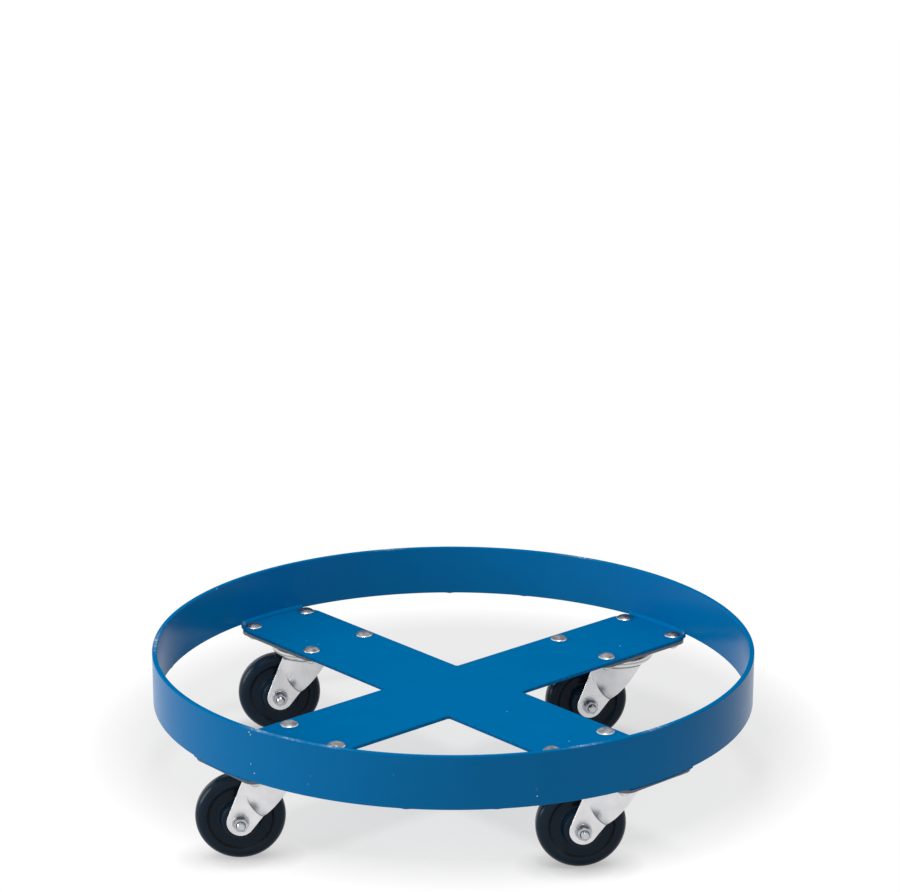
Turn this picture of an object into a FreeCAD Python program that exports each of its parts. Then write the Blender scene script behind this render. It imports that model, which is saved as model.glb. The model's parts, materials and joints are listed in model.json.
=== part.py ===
"""Drum trolley: a rolled steel ring on a flat cross, carried by four plate castors.

Millimetres, +Z up. The origin is on the floor under the middle of the ring. The arms of
the cross lie on the diagonals, and the side towards -Y is the front.
"""
import FreeCAD, Part
import math
import os
import Sketcher

# Driving dimensions: alias, value in millimetres (degrees for angles, plain for counts)
SIZES = {
    # Ring and cross
    "ring_bore": 610.0,
    "ring_wall": 5.0,
    "ring_height": 54.0,
    "ring_edge_round": 1.0,
    "arm_width": 100.0,
    "arm_thickness": 4.0,
    "arm_corner_run": 24.0,
    "arm_corner_cut": 8.0,
    "arm_end_inset": 3.5,
    "weld_leg": 4.0,
    # Rivets that hold a castor plate under an arm
    "rivet_pitch_long": 101.0,
    "rivet_pitch_wide": 74.0,
    "rivet_shank": 8.0,
    "rivet_hole_gap": 0.1,
    "rivet_top_head": 18.5,
    "rivet_top_rise": 4.2,
    "rivet_low_head": 15.5,
    "rivet_low_rise": 6.8,
    "rivet_weld_gap": 0.5,
    # Castor top plate
    "plate_sheet": 4.0,
    "plate_margin_long": 13.0,
    "plate_margin_wide": 11.0,
    "plate_corner": 12.0,
    "race_radius": 40.0,
    "race_press": 5.0,
    # Swivel bearing
    "upper_ball": 8.0,
    "upper_track": 27.0,
    "lower_ball": 5.0,
    "lower_track": 10.0,
    "track_depth": 1.0,
    "ball_gap": 0.15,
    "ball_space": 0.7,
    "kingpin_shank": 10.0,
    "kingpin_gap": 0.8,
    "kingpin_head": 16.0,
    "kingpin_low_rise": 2.0,
    "kingpin_sink": 0.3,
    "retainer_sheet": 2.0,
    "retainer_edge": 1.6,
    "retainer_lip": 2.0,
    # Fork
    "fork_sheet": 3.0,
    "crown_rim_rise": 8.0,
    "crown_rim_out": 5.5,
    "crown_rim_round": 6.0,
    "crown_rim_gap": 3.0,
    "crown_step": 5.0,
    "crown_step_run": 2.0,
    "horn_radius": 34.5,
    "horn_straight": 12.0,
    "horn_curve": 45.0,
    "leg_back": 30.0,
    "leg_front": 21.0,
    "leg_tip": 14.0,
    "trail": 33.0,
    "wheel_headroom": 2.0,
    # Wheel
    "wheel_diameter": 90.0,
    "tread_width": 22.0,
    "tread_round": 9.0,
    "rim_width": 11.5,
    "web_recess": 4.0,
    "web_draft": 2.0,
    "hub_diameter": 37.0,
    "hub_length": 36.0,
    "hub_round": 1.5,
    # Axle
    "axle_diameter": 8.0,
    "axle_gap": 0.1,
    "sleeve_wall": 2.0,
    "bush_wall": 2.0,
    "running_gap": 0.08,
    "side_play": 0.5,
    "hex_flats": 13.0,
    "hex_chamfer": 0.9,
    "nut_height": 6.5,
    "bolt_head_height": 5.3,
    "bolt_end": 3.5,
    "bolt_end_chamfer": 0.8,
    "washer_diameter": 17.0,
    "washer_thickness": 1.6,
    # Castor turn about its own swivel axis, from the +X direction
    "front_left_turn": 8.0,
    "front_right_turn": 9.0,
    "rear_left_turn": 9.0,
    "rear_right_turn": 14.0,
}

# Sizes that follow from the driving ones, in the order in which they are worked out
LAYOUT = {
    # Ring and cross
    "bore_radius": "Sizes.ring_bore / 2",
    "ring_radius": "Sizes.ring_bore / 2 + Sizes.ring_wall",
    "arm_half": "Sizes.arm_width / 2",
    "arm_end_half": "Sizes.arm_width / 2 - Sizes.arm_corner_cut",
    "arm_end": "sqrt(ring_radius ^ 2 - arm_end_half ^ 2)",
    "arm_shoulder": "arm_end - Sizes.arm_corner_run",
    "arm_reach": "ring_radius - Sizes.arm_end_inset",
    "arm_trim": "2 * ring_radius",
    # Heights of the castor, from the floor up
    "wheel_radius": "Sizes.wheel_diameter / 2",
    "axle_height": "wheel_radius",
    "crown_low": "Sizes.wheel_diameter + Sizes.wheel_headroom",
    "crown_top": "crown_low + Sizes.fork_sheet",
    "upper_centre": "crown_top - Sizes.track_depth + Sizes.ball_gap + Sizes.upper_ball / 2",
    "race_low": "crown_top + Sizes.upper_ball + 2 * Sizes.ball_gap - 2 * Sizes.track_depth",
    "plate_low": "race_low + Sizes.race_press",
    "plate_top": "plate_low + Sizes.plate_sheet",
    "race_top": "race_low + Sizes.plate_sheet",
    "arm_low": "plate_top",
    "arm_top": "arm_low + Sizes.arm_thickness",
    "ring_top": "arm_top + Sizes.ring_height",
    "weld_top": "arm_top + Sizes.weld_leg",
    "weld_toe": "bore_radius - Sizes.weld_leg",
    # Rivets and plate
    "rivet_radius": "Sizes.rivet_shank / 2",
    "rivet_hole": "rivet_radius + Sizes.rivet_hole_gap",
    "rivet_top_half": "Sizes.rivet_top_head / 2",
    "rivet_low_half": "Sizes.rivet_low_head / 2",
    "rivet_crest": "arm_top + Sizes.rivet_top_rise",
    "rivet_foot": "plate_low - Sizes.rivet_low_rise",
    "rivet_half_long": "Sizes.rivet_pitch_long / 2",
    "rivet_half_wide": "Sizes.rivet_pitch_wide / 2",
    "rivet_reach": "weld_toe - rivet_top_half - Sizes.rivet_weld_gap",
    "rivet_outer": "sqrt(rivet_reach ^ 2 - rivet_half_wide ^ 2)",
    "rivet_inner": "rivet_outer - Sizes.rivet_pitch_long",
    "castor_radius": "rivet_outer - rivet_half_long",
    "plate_half_long": "rivet_half_long + Sizes.plate_margin_long",
    "plate_half_wide": "rivet_half_wide + Sizes.plate_margin_wide",
    "race_foot": "Sizes.race_radius - Sizes.race_press",
    "press_top": "Sizes.race_radius - (sqrt(2) - 1) * Sizes.plate_sheet",
    "press_rim": "press_top - Sizes.race_press",
    # Kingpin, lower balls and their retainer
    "kingpin_radius": "Sizes.kingpin_shank / 2",
    "kingpin_head_half": "Sizes.kingpin_head / 2",
    "kingpin_top": "plate_top - Sizes.kingpin_sink",
    "crown_hole": "kingpin_radius + Sizes.kingpin_gap",
    "inner_low": "crown_low + Sizes.crown_step",
    "inner_top": "inner_low + Sizes.fork_sheet",
    "lower_centre": "inner_low + Sizes.track_depth - Sizes.ball_gap - Sizes.lower_ball / 2",
    "retainer_top": "inner_low - Sizes.lower_ball - 2 * Sizes.ball_gap + 2 * Sizes.track_depth",
    "retainer_low": "retainer_top - Sizes.retainer_sheet",
    "retainer_in": "Sizes.lower_track + Sizes.lower_ball / 2 + Sizes.ball_gap",
    "retainer_out": "retainer_in + Sizes.retainer_edge",
    "retainer_rim": "retainer_top + Sizes.retainer_lip",
    "kingpin_low": "retainer_low - Sizes.kingpin_low_rise",
    "upper_groove": "Sizes.upper_ball / 2 + Sizes.ball_gap",
    "lower_groove": "Sizes.lower_ball / 2 + Sizes.ball_gap",
    "upper_ball_count": "floor(2 * pi * Sizes.upper_track / (Sizes.upper_ball + Sizes.ball_space))",
    "lower_ball_count": "floor(2 * pi * Sizes.lower_track / (Sizes.lower_ball + Sizes.ball_space))",
    # Fork
    "rim_over_balls": "Sizes.upper_track + upper_groove + Sizes.crown_rim_gap + Sizes.fork_sheet",
    "rim_out": "max(Sizes.horn_radius + Sizes.crown_rim_out; rim_over_balls)",
    "rim_in": "rim_out - Sizes.fork_sheet",
    "crown_foot": "rim_out - Sizes.crown_rim_out",
    "rim_top": "crown_low + Sizes.crown_rim_rise",
    "rim_knee": "crown_low + Sizes.crown_rim_round",
    "step_in_low": "retainer_out + Sizes.kingpin_gap",
    "step_out_low": "step_in_low + Sizes.crown_step_run",
    "step_in_top": "step_in_low + Sizes.fork_sheet / 2",
    "step_out_top": "step_out_low + Sizes.fork_sheet / 2",
    "leg_in": "Sizes.hub_length / 2 + Sizes.side_play",
    "leg_out": "leg_in + Sizes.fork_sheet",
    "leg_span": "2 * leg_out",
    "horn_knee": "crown_low - Sizes.horn_straight",
    "horn_inner": "Sizes.horn_radius - Sizes.fork_sheet",
    "horn_inner_curve": "Sizes.horn_curve - Sizes.fork_sheet",
    "horn_inner_end": "leg_in - Sizes.fork_sheet",
    "tip_low": "axle_height - Sizes.leg_tip",
    "trim_low": "tip_low - Sizes.leg_tip",
    "trim_reach": "2 * rim_out",
    # Axle and wheel
    "axle_radius": "Sizes.axle_diameter / 2",
    "axle_hole": "axle_radius + Sizes.axle_gap",
    "sleeve_out": "axle_hole + Sizes.sleeve_wall",
    "bush_in": "sleeve_out + Sizes.running_gap",
    "bush_out": "bush_in + Sizes.bush_wall",
    "hub_half": "Sizes.hub_length / 2",
    "hub_radius": "Sizes.hub_diameter / 2",
    "hub_root": "hub_radius + Sizes.web_draft",
    "tread_half": "Sizes.tread_width / 2",
    "web_half": "tread_half - Sizes.web_recess",
    "rim_mouth": "wheel_radius - Sizes.rim_width",
    "rim_root": "rim_mouth - Sizes.web_draft",
    "hex_half": "Sizes.hex_flats / 2",
    "hex_corner": "Sizes.hex_flats / sqrt(3)",
    "hex_half_corner": "hex_corner / 2",
    "hex_crest": "hex_half - Sizes.hex_chamfer / 2",
    "hex_outside": "hex_corner + Sizes.hex_chamfer",
    "washer_radius": "Sizes.washer_diameter / 2",
    "washer_face": "leg_out + Sizes.washer_thickness",
    "nut_face": "washer_face + Sizes.nut_height",
    "nut_shoulder": "nut_face - Sizes.hex_chamfer",
    "bolt_tip": "nut_face + Sizes.bolt_end",
    "bolt_tip_edge": "bolt_tip - Sizes.bolt_end_chamfer",
    "bolt_tip_radius": "axle_radius - Sizes.bolt_end_chamfer",
    "head_face": "leg_out + Sizes.bolt_head_height",
    "head_shoulder": "head_face - Sizes.hex_chamfer",
}

# Each castor: direction of its arm from the +X axis
CASTORS = {"front_left": 225.0, "front_right": 315.0, "rear_left": 135.0, "rear_right": 45.0}

doc = FreeCAD.newDocument("drum_trolley")
nodes = []


# Sheets
def fill_sheet(name, cells):
    """Put each alias and its text into one row of a new sheet."""
    sheet = doc.addObject("Spreadsheet::Sheet", name)
    for row, (alias, text) in enumerate(cells, 1):
        sheet.set(f"A{row}", alias)
        sheet.set(f"B{row}", text)
        sheet.setAlias(f"B{row}", alias)
    doc.recompute()
    return sheet


sizes = fill_sheet("Sizes", [(alias, str(value)) for alias, value in SIZES.items()])
layout = fill_sheet("Layout", [(alias, "=" + formula) for alias, formula in LAYOUT.items()])


def cell(alias):
    """Expression for an alias of either sheet, which may have a minus sign in front."""
    word = alias.lstrip("-")
    sheet = "Sizes" if word in SIZES else "Layout"
    return f"{alias[:len(alias) - len(word)]}{sheet}.{word}"


def number(alias):
    """Present value of an alias of either sheet, which may have a minus sign in front."""
    word = alias.lstrip("-")
    value = float(getattr(sizes if word in SIZES else layout, word))
    return -value if alias.startswith("-") else value


# Bodies and sketches
def new_body(label):
    """Start a sub-part, whose label names its file."""
    body = doc.addObject("PartDesign::Body", label)
    body.Label = label
    nodes.append(body)
    return body


def origin_feature(body, role):
    """One of the body's own origin planes or axes."""
    return next(item for item in body.Origin.OriginFeatures if item.Role == role)


def new_sketch(body, role, offset=None):
    """Sketch on one of the body's origin planes, moved along its normal by an alias."""
    sketch = body.newObject("Sketcher::SketchObject", body.Label + "_sketch")
    sketch.AttachmentSupport = [(origin_feature(body, role), "")]
    sketch.MapMode = "FlatFace"
    if offset:
        sketch.setExpression("AttachmentOffset.Base.z", cell(offset))
    return sketch


def drive(sketch, constraint, alias):
    """Add a dimension to a sketch and tie it to a cell."""
    index = sketch.addConstraint(constraint)
    sketch.setExpression(f"Constraints[{index}]", cell(alias))


def hold_point(sketch, curve, end, x_alias, y_alias):
    """Hold a curve's end at two dimensions from the origin; "0" puts it on that axis."""
    for kind, alias, axis in (("DistanceX", x_alias, -2), ("DistanceY", y_alias, -1)):
        if alias == "0":
            sketch.addConstraint(Sketcher.Constraint("PointOnObject", curve, end, axis))
        else:
            drive(sketch, Sketcher.Constraint(kind, -1, 1, curve, end, number(alias)), alias)


def point(x_alias, y_alias):
    """Sketch point at two aliases, where "0" is zero."""
    x, y = (0.0 if alias == "0" else number(alias) for alias in (x_alias, y_alias))
    return FreeCAD.Vector(x, y, 0)


def draw_outline(sketch, corners, closed=True):
    """Straight lines from corner to corner, each corner held at its pair of aliases."""
    last = len(corners) if closed else len(corners) - 1
    lines = []
    for step in range(last):
        ends = corners[step], corners[(step + 1) % len(corners)]
        lines.append(sketch.addGeometry(Part.LineSegment(point(*ends[0]), point(*ends[1]))))
        hold_point(sketch, lines[-1], 1, *ends[0])
        if step:
            sketch.addConstraint(Sketcher.Constraint("Coincident", lines[step - 1], 2, lines[step], 1))
    if closed:
        sketch.addConstraint(Sketcher.Constraint("Coincident", lines[-1], 2, lines[0], 1))
    else:
        hold_point(sketch, lines[-1], 2, *corners[-1])
    return lines


def draw_circle(sketch, x_alias, y_alias, radius):
    """Circle with a held centre and a driven radius."""
    normal = FreeCAD.Vector(0, 0, 1)
    curve = sketch.addGeometry(Part.Circle(point(x_alias, y_alias), normal, number(radius)))
    hold_point(sketch, curve, 3, x_alias, y_alias)
    drive(sketch, Sketcher.Constraint("Radius", curve, number(radius)), radius)


def draw_arc(sketch, centre, radius, start, finish):
    """Free arc drawn counter-clockwise between two angles in radians."""
    normal = FreeCAD.Vector(0, 0, 1)
    return sketch.addGeometry(Part.ArcOfCircle(Part.Circle(centre, normal, radius), start, finish))


# Features
def pad(body, sketch, length, both_ways=False, reverse=False):
    """Extrude a sketch by an alias, or by half of it to each side."""
    feature = body.newObject("PartDesign::Pad", body.Label + "_pad")
    feature.Profile = sketch
    feature.setExpression("Length", cell(length))
    feature.Midplane = both_ways
    feature.Reversed = reverse
    return feature


def pocket(body, sketch):
    """Cut a sketch right through the body, both ways."""
    feature = body.newObject("PartDesign::Pocket", body.Label + "_pocket")
    feature.Profile = sketch
    feature.Type = "ThroughAll"
    feature.Midplane = True
    return feature


def spin(body, sketch, cut=False):
    """Turn a sketch once round its own vertical axis, to add or to cut."""
    kind = "Groove" if cut else "Revolution"
    feature = body.newObject(f"PartDesign::{kind}", f"{body.Label}_{kind.lower()}")
    feature.Profile = sketch
    feature.ReferenceAxis = (sketch, ["V_Axis"])
    feature.Angle = 360
    return feature


def circle_edges(shape, radius, height, axis):
    """Names of the full circles of a radius, at a place along an axis (0, 1 or 2)."""
    names = []
    for index, edge in enumerate(shape.Edges, 1):
        curve = edge.Curve
        if isinstance(curve, Part.Circle) and abs(curve.Radius - radius) < 0.01:
            if abs(abs(curve.Center[axis]) - height) < 0.01:
                names.append(f"Edge{index}")
    return names


def fillet(body, base, edges, radius):
    """Round the named edges of a feature by an alias."""
    feature = body.newObject("PartDesign::Fillet", body.Label + "_fillet")
    feature.Base = (base, edges)
    feature.setExpression("Radius", cell(radius))
    return feature


def place(body, x_formula="0", y_formula="0", z_formula="0", turn="0"):
    """Bind a body's place and its turn about +Z."""
    body.setExpression("Placement.Base.x", x_formula)
    body.setExpression("Placement.Base.y", y_formula)
    body.setExpression("Placement.Base.z", z_formula)
    body.setExpression("Placement.Rotation.Angle", turn)


def place_on_arm(body, arm, along="Layout.castor_radius", across="0"):
    """Put a body on an arm of the cross, with its X along the arm."""
    place(
        body,
        f"cos({arm}) * ({along}) - sin({arm}) * ({across})",
        f"sin({arm}) * ({along}) + cos({arm}) * ({across})",
        turn=f"{arm}",
    )


def place_on_castor(body, arm, turn, at_axle=False):
    """Put a body on a swivel axis, or at the axle that trails behind it."""
    back = "Sizes.trail" if at_axle else "0"
    place(
        body,
        f"cos({arm}) * Layout.castor_radius - cos({turn}) * {back}",
        f"sin({arm}) * Layout.castor_radius - sin({turn}) * {back}",
        "Layout.axle_height" if at_axle else "0",
        turn,
    )


# Ring, cross and welds
def make_ring():
    """Flat bar rolled into a hoop, with its long edges broken."""
    body = new_body("ring")
    sketch = new_sketch(body, "XZ_Plane")
    draw_outline(sketch, [
        ("bore_radius", "arm_top"), ("ring_radius", "arm_top"),
        ("ring_radius", "ring_top"), ("bore_radius", "ring_top"),
    ])
    hoop = spin(body, sketch)
    doc.recompute()
    edges = []
    for radius in ("bore_radius", "ring_radius"):
        edges += circle_edges(hoop.Shape, number(radius), number("ring_top"), 2)
    fillet(body, hoop, edges, "ring_edge_round")


def make_cross():
    """Flat cross with clipped ends, cut round just inside the ring, and the rivet holes."""
    body = new_body("cross_plate")
    sketch = new_sketch(body, "XY_Plane", "arm_low")
    draw_outline(sketch, [
        ("arm_shoulder", "-arm_half"), ("arm_end", "-arm_end_half"),
        ("arm_end", "arm_end_half"), ("arm_shoulder", "arm_half"),
        ("arm_half", "arm_half"), ("arm_half", "arm_shoulder"),
        ("arm_end_half", "arm_end"), ("-arm_end_half", "arm_end"),
        ("-arm_half", "arm_shoulder"), ("-arm_half", "arm_half"),
        ("-arm_shoulder", "arm_half"), ("-arm_end", "arm_end_half"),
        ("-arm_end", "-arm_end_half"), ("-arm_shoulder", "-arm_half"),
        ("-arm_half", "-arm_half"), ("-arm_half", "-arm_shoulder"),
        ("-arm_end_half", "-arm_end"), ("arm_end_half", "-arm_end"),
        ("arm_half", "-arm_shoulder"), ("arm_half", "-arm_half"),
    ])
    pad(body, sketch, "arm_thickness")
    ends = new_sketch(body, "XY_Plane", "arm_low")
    draw_circle(ends, "0", "0", "arm_reach")
    draw_circle(ends, "0", "0", "arm_trim")
    pocket(body, ends)
    holes = new_sketch(body, "XY_Plane", "arm_low")
    for along in ("rivet_inner", "rivet_outer", "-rivet_inner", "-rivet_outer"):
        for across in ("rivet_half_wide", "-rivet_half_wide"):
            draw_circle(holes, along, across, "rivet_hole")
            draw_circle(holes, across, along, "rivet_hole")
    pocket(body, holes)
    place(body, turn="45")


def make_welds():
    """Fillet weld along the inside of the ring on each arm."""
    body = new_body("ring_welds")
    sketch = new_sketch(body, "XZ_Plane")
    draw_outline(sketch, [
        ("weld_toe", "arm_top"), ("bore_radius", "arm_top"), ("bore_radius", "weld_top"),
    ])
    bead = spin(body, sketch)
    bead.setExpression("Angle", "2 * asin(Layout.arm_end_half / Layout.bore_radius)")
    bead.Midplane = True
    pattern = body.newObject("PartDesign::PolarPattern", "ring_welds_pattern")
    pattern.Originals = [bead]
    pattern.Axis = (origin_feature(body, "Z_Axis"), [""])
    pattern.Angle = 360
    pattern.Occurrences = len(CASTORS)
    body.Tip = pattern
    place(body, turn="45")


# Castor pieces that stay with the cross
def make_top_plate(label, arm):
    """Pressed plate with rounded corners and the upper race standing out below."""
    body = new_body(label)
    sketch = new_sketch(body, "XY_Plane", "plate_low")
    draw_outline(sketch, [
        ("-plate_half_long", "-plate_half_wide"), ("plate_half_long", "-plate_half_wide"),
        ("plate_half_long", "plate_half_wide"), ("-plate_half_long", "plate_half_wide"),
    ])
    blank = pad(body, sketch, "plate_sheet")
    doc.recompute()
    upright = [
        f"Edge{index}" for index, edge in enumerate(blank.Shape.Edges, 1)
        if edge.BoundBox.XLength + edge.BoundBox.YLength < 1e-6
    ]
    fillet(body, blank, upright, "plate_corner")
    race = new_sketch(body, "XZ_Plane")
    draw_outline(race, [
        ("0", "race_low"), ("race_foot", "race_low"), ("race_radius", "plate_low"), ("0", "plate_low"),
    ])
    spin(body, race)
    dish = new_sketch(body, "XZ_Plane")
    draw_outline(dish, [
        ("0", "race_top"), ("press_rim", "race_top"), ("press_top", "plate_top"), ("0", "plate_top"),
    ])
    spin(body, dish, cut=True)
    track = new_sketch(body, "XZ_Plane")
    draw_circle(track, "upper_track", "upper_centre", "upper_groove")
    spin(body, track, cut=True)
    holes = new_sketch(body, "XY_Plane", "plate_low")
    draw_circle(holes, "0", "0", "kingpin_radius")
    for along in ("rivet_half_long", "-rivet_half_long"):
        for across in ("rivet_half_wide", "-rivet_half_wide"):
            draw_circle(holes, along, across, "rivet_hole")
    pocket(body, holes)
    place_on_arm(body, arm)


def draw_dome(sketch, half, base, crest, downward=False):
    """Cap-shaped arc from the rim of a rivet head to its crest on the axis."""
    rise = abs(number(crest) - number(base))
    radius = (number(half) ** 2 + rise ** 2) / (2 * rise)
    swing = math.asin(min(1.0, number(half) / radius))
    side = -1 if downward else 1
    centre = FreeCAD.Vector(0, number(crest) - side * radius, 0)
    middle = side * math.pi / 2
    limits = (middle, middle + swing) if downward else (middle - swing, middle)
    arc = draw_arc(sketch, centre, radius, *limits)
    rim_end, crest_end = (2, 1) if downward else (1, 2)
    sketch.addConstraint(Sketcher.Constraint("PointOnObject", arc, 3, -2))
    hold_point(sketch, arc, rim_end, half, base)
    hold_point(sketch, arc, crest_end, "0", crest)
    return arc, rim_end, crest_end


def make_rivets(label, arm):
    """Four rivets through arm and plate, domed above and below."""
    body = new_body(label)
    sketch = new_sketch(body, "XZ_Plane")
    top, top_rim, top_crest = draw_dome(sketch, "rivet_top_half", "arm_top", "rivet_crest")
    low, low_rim, low_crest = draw_dome(sketch, "rivet_low_half", "plate_low", "rivet_foot", True)
    side = draw_outline(sketch, [
        ("rivet_low_half", "plate_low"), ("rivet_radius", "plate_low"),
        ("rivet_radius", "arm_top"), ("rivet_top_half", "arm_top"),
    ], closed=False)
    axis = sketch.addGeometry(Part.LineSegment(point("0", "rivet_crest"), point("0", "rivet_foot")))
    for first, first_end, second, second_end in (
        (axis, 1, top, top_crest), (axis, 2, low, low_crest),
    ):
        sketch.addConstraint(Sketcher.Constraint("Coincident", first, first_end, second, second_end))
    rivet = spin(body, sketch)
    repeats = []
    for role, pitch in (("X_Axis", "rivet_pitch_long"), ("Y_Axis", "rivet_pitch_wide")):
        row = body.newObject("PartDesign::LinearPattern", label + "_row")
        row.Direction = (origin_feature(body, role), [""])
        row.setExpression("Length", cell(pitch))
        row.Occurrences = 2
        repeats.append(row)
    group = body.newObject("PartDesign::MultiTransform", label + "_group")
    group.Originals = [rivet]
    group.Transformations = repeats
    body.Tip = group
    place_on_arm(body, arm, "Layout.rivet_inner", "-Layout.rivet_half_wide")


def make_kingpin(label, arm, turn):
    """Pin riveted over in the plate's dish and under the ball retainer."""
    body = new_body(label)
    sketch = new_sketch(body, "XZ_Plane")
    draw_outline(sketch, [
        ("0", "kingpin_low"), ("kingpin_head_half", "kingpin_low"),
        ("kingpin_head_half", "retainer_low"), ("kingpin_radius", "retainer_low"),
        ("kingpin_radius", "race_top"), ("kingpin_head_half", "race_top"),
        ("kingpin_head_half", "kingpin_top"), ("0", "kingpin_top"),
    ])
    spin(body, sketch)
    place_on_castor(body, arm, turn)


def make_retainer(label, arm, turn):
    """Dished washer on the kingpin that carries the lower ring of balls."""
    body = new_body(label)
    sketch = new_sketch(body, "XZ_Plane")
    draw_outline(sketch, [
        ("kingpin_radius", "retainer_low"), ("retainer_out", "retainer_low"),
        ("retainer_out", "retainer_rim"), ("retainer_in", "retainer_rim"),
        ("retainer_in", "retainer_top"), ("kingpin_radius", "retainer_top"),
    ])
    spin(body, sketch)
    track = new_sketch(body, "XZ_Plane")
    draw_circle(track, "lower_track", "lower_centre", "lower_groove")
    spin(body, track, cut=True)
    place_on_castor(body, arm, turn)


def make_balls(label, arm, turn, race):
    """Ring of bearing balls round the swivel axis."""
    body = new_body(label)
    sketch = new_sketch(body, "XZ_Plane")
    track, radius = number(race + "_track"), number(race + "_ball") / 2
    centre = FreeCAD.Vector(track, number(race + "_centre"), 0)
    arc = draw_arc(sketch, centre, radius, -math.pi / 2, math.pi / 2)
    reach = FreeCAD.Vector(0, radius, 0)
    chord = sketch.addGeometry(Part.LineSegment(centre + reach, centre - reach))
    sketch.addConstraint(Sketcher.Constraint("Coincident", arc, 2, chord, 1))
    sketch.addConstraint(Sketcher.Constraint("Coincident", chord, 2, arc, 1))
    sketch.addConstraint(Sketcher.Constraint("PointOnObject", arc, 3, chord))
    sketch.addConstraint(Sketcher.Constraint("Vertical", chord))
    hold_point(sketch, arc, 3, race + "_track", race + "_centre")
    drive(sketch, Sketcher.Constraint("Diameter", arc, 2 * radius), race + "_ball")
    ball = body.newObject("PartDesign::Revolution", label + "_revolution")
    ball.Profile = sketch
    ball.ReferenceAxis = (sketch, [f"Edge{chord + 1}"])
    ball.Angle = 360
    pattern = body.newObject("PartDesign::PolarPattern", label + "_pattern")
    pattern.Originals = [ball]
    pattern.Axis = (origin_feature(body, "Z_Axis"), [""])
    pattern.Angle = 360
    pattern.setExpression("Occurrences", cell(race + "_ball_count"))
    body.Tip = pattern
    place_on_castor(body, arm, turn)


# Castor pieces that swivel
def draw_horn(sketch, radius, curve, end):
    """Half-section of the horn: straight below the crown, then drawn in on one arc."""
    knee = point(radius, "horn_knee")
    bend = number(curve)
    centre = knee - FreeCAD.Vector(bend, 0, 0)
    swing = math.acos((number(end) - centre.x) / bend)
    arc = draw_arc(sketch, centre, bend, -swing, 0)
    lines = draw_outline(sketch, [
        ("0", "crown_low"), (radius, "crown_low"), (radius, "horn_knee"),
    ], closed=False)
    foot = sketch.addGeometry(Part.LineSegment(
        FreeCAD.Vector(number(end), centre.y - bend * math.sin(swing), 0),
        FreeCAD.Vector(0, centre.y - bend * math.sin(swing), 0),
    ))
    axis = sketch.addGeometry(Part.LineSegment(
        FreeCAD.Vector(0, centre.y - bend * math.sin(swing), 0), point("0", "crown_low"),
    ))
    sketch.addConstraint(Sketcher.Constraint("Tangent", lines[-1], 2, arc, 2))
    drive(sketch, Sketcher.Constraint("Radius", arc, bend), curve)
    drive(sketch, Sketcher.Constraint("DistanceX", -1, 1, arc, 1, number(end)), end)
    sketch.addConstraint(Sketcher.Constraint("Coincident", arc, 1, foot, 1))
    sketch.addConstraint(Sketcher.Constraint("Horizontal", foot))
    sketch.addConstraint(Sketcher.Constraint("PointOnObject", foot, 2, -2))
    sketch.addConstraint(Sketcher.Constraint("Coincident", foot, 2, axis, 1))
    sketch.addConstraint(Sketcher.Constraint("Coincident", axis, 2, lines[0], 1))


def draw_crown(sketch):
    """Half-section of the crown, a bowl whose rim stands out over the top of the horn."""
    lines = draw_outline(sketch, [
        ("rim_out", "rim_knee"), ("rim_out", "rim_top"), ("rim_in", "rim_top"),
        ("rim_in", "crown_top"), ("step_out_top", "crown_top"), ("step_in_top", "inner_top"),
        ("crown_hole", "inner_top"), ("crown_hole", "inner_low"), ("step_in_low", "inner_low"),
        ("step_out_low", "crown_low"), ("crown_foot", "crown_low"),
    ], closed=False)
    across, up = number("crown_rim_out"), number("crown_rim_round")
    bulge = (across ** 2 + up ** 2) / (2 * across)
    centre = point("rim_out", "rim_knee") - FreeCAD.Vector(bulge, 0, 0)
    arc = draw_arc(sketch, centre, bulge, math.atan2(-up, bulge - across), 0)
    sketch.addConstraint(Sketcher.Constraint("Coincident", lines[-1], 2, arc, 1))
    sketch.addConstraint(Sketcher.Constraint("Tangent", arc, 2, lines[0], 1))


def draw_leg_sides(sketch):
    """Back edge, round tip about the axle and front edge of a leg, seen from the side."""
    axle = FreeCAD.Vector(-number("trail"), number("axle_height"), 0)
    tip = number("leg_tip")
    tops = point("-leg_back", "crown_low"), point("leg_front", "crown_low")
    # A tangent from a top corner touches the tip this far round from the line to the axle
    angles = []
    for top, side in zip(tops, (1, -1)):
        away = top - axle
        turn = side * math.acos(tip / away.Length)
        angles.append(math.atan2(away.y, away.x) + turn)
    touch = [axle + FreeCAD.Vector(math.cos(a), math.sin(a), 0) * tip for a in angles]
    back = sketch.addGeometry(Part.LineSegment(tops[0], touch[0]))
    arc = draw_arc(sketch, axle, tip, angles[0], angles[1] + 2 * math.pi)
    front = sketch.addGeometry(Part.LineSegment(touch[1], tops[1]))
    hold_point(sketch, arc, 3, "-trail", "axle_height")
    drive(sketch, Sketcher.Constraint("Radius", arc, tip), "leg_tip")
    sketch.addConstraint(Sketcher.Constraint("Tangent", back, 2, arc, 1))
    sketch.addConstraint(Sketcher.Constraint("Tangent", arc, 2, front, 1))
    hold_point(sketch, back, 1, "-leg_back", "crown_low")
    hold_point(sketch, front, 2, "leg_front", "crown_low")


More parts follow.
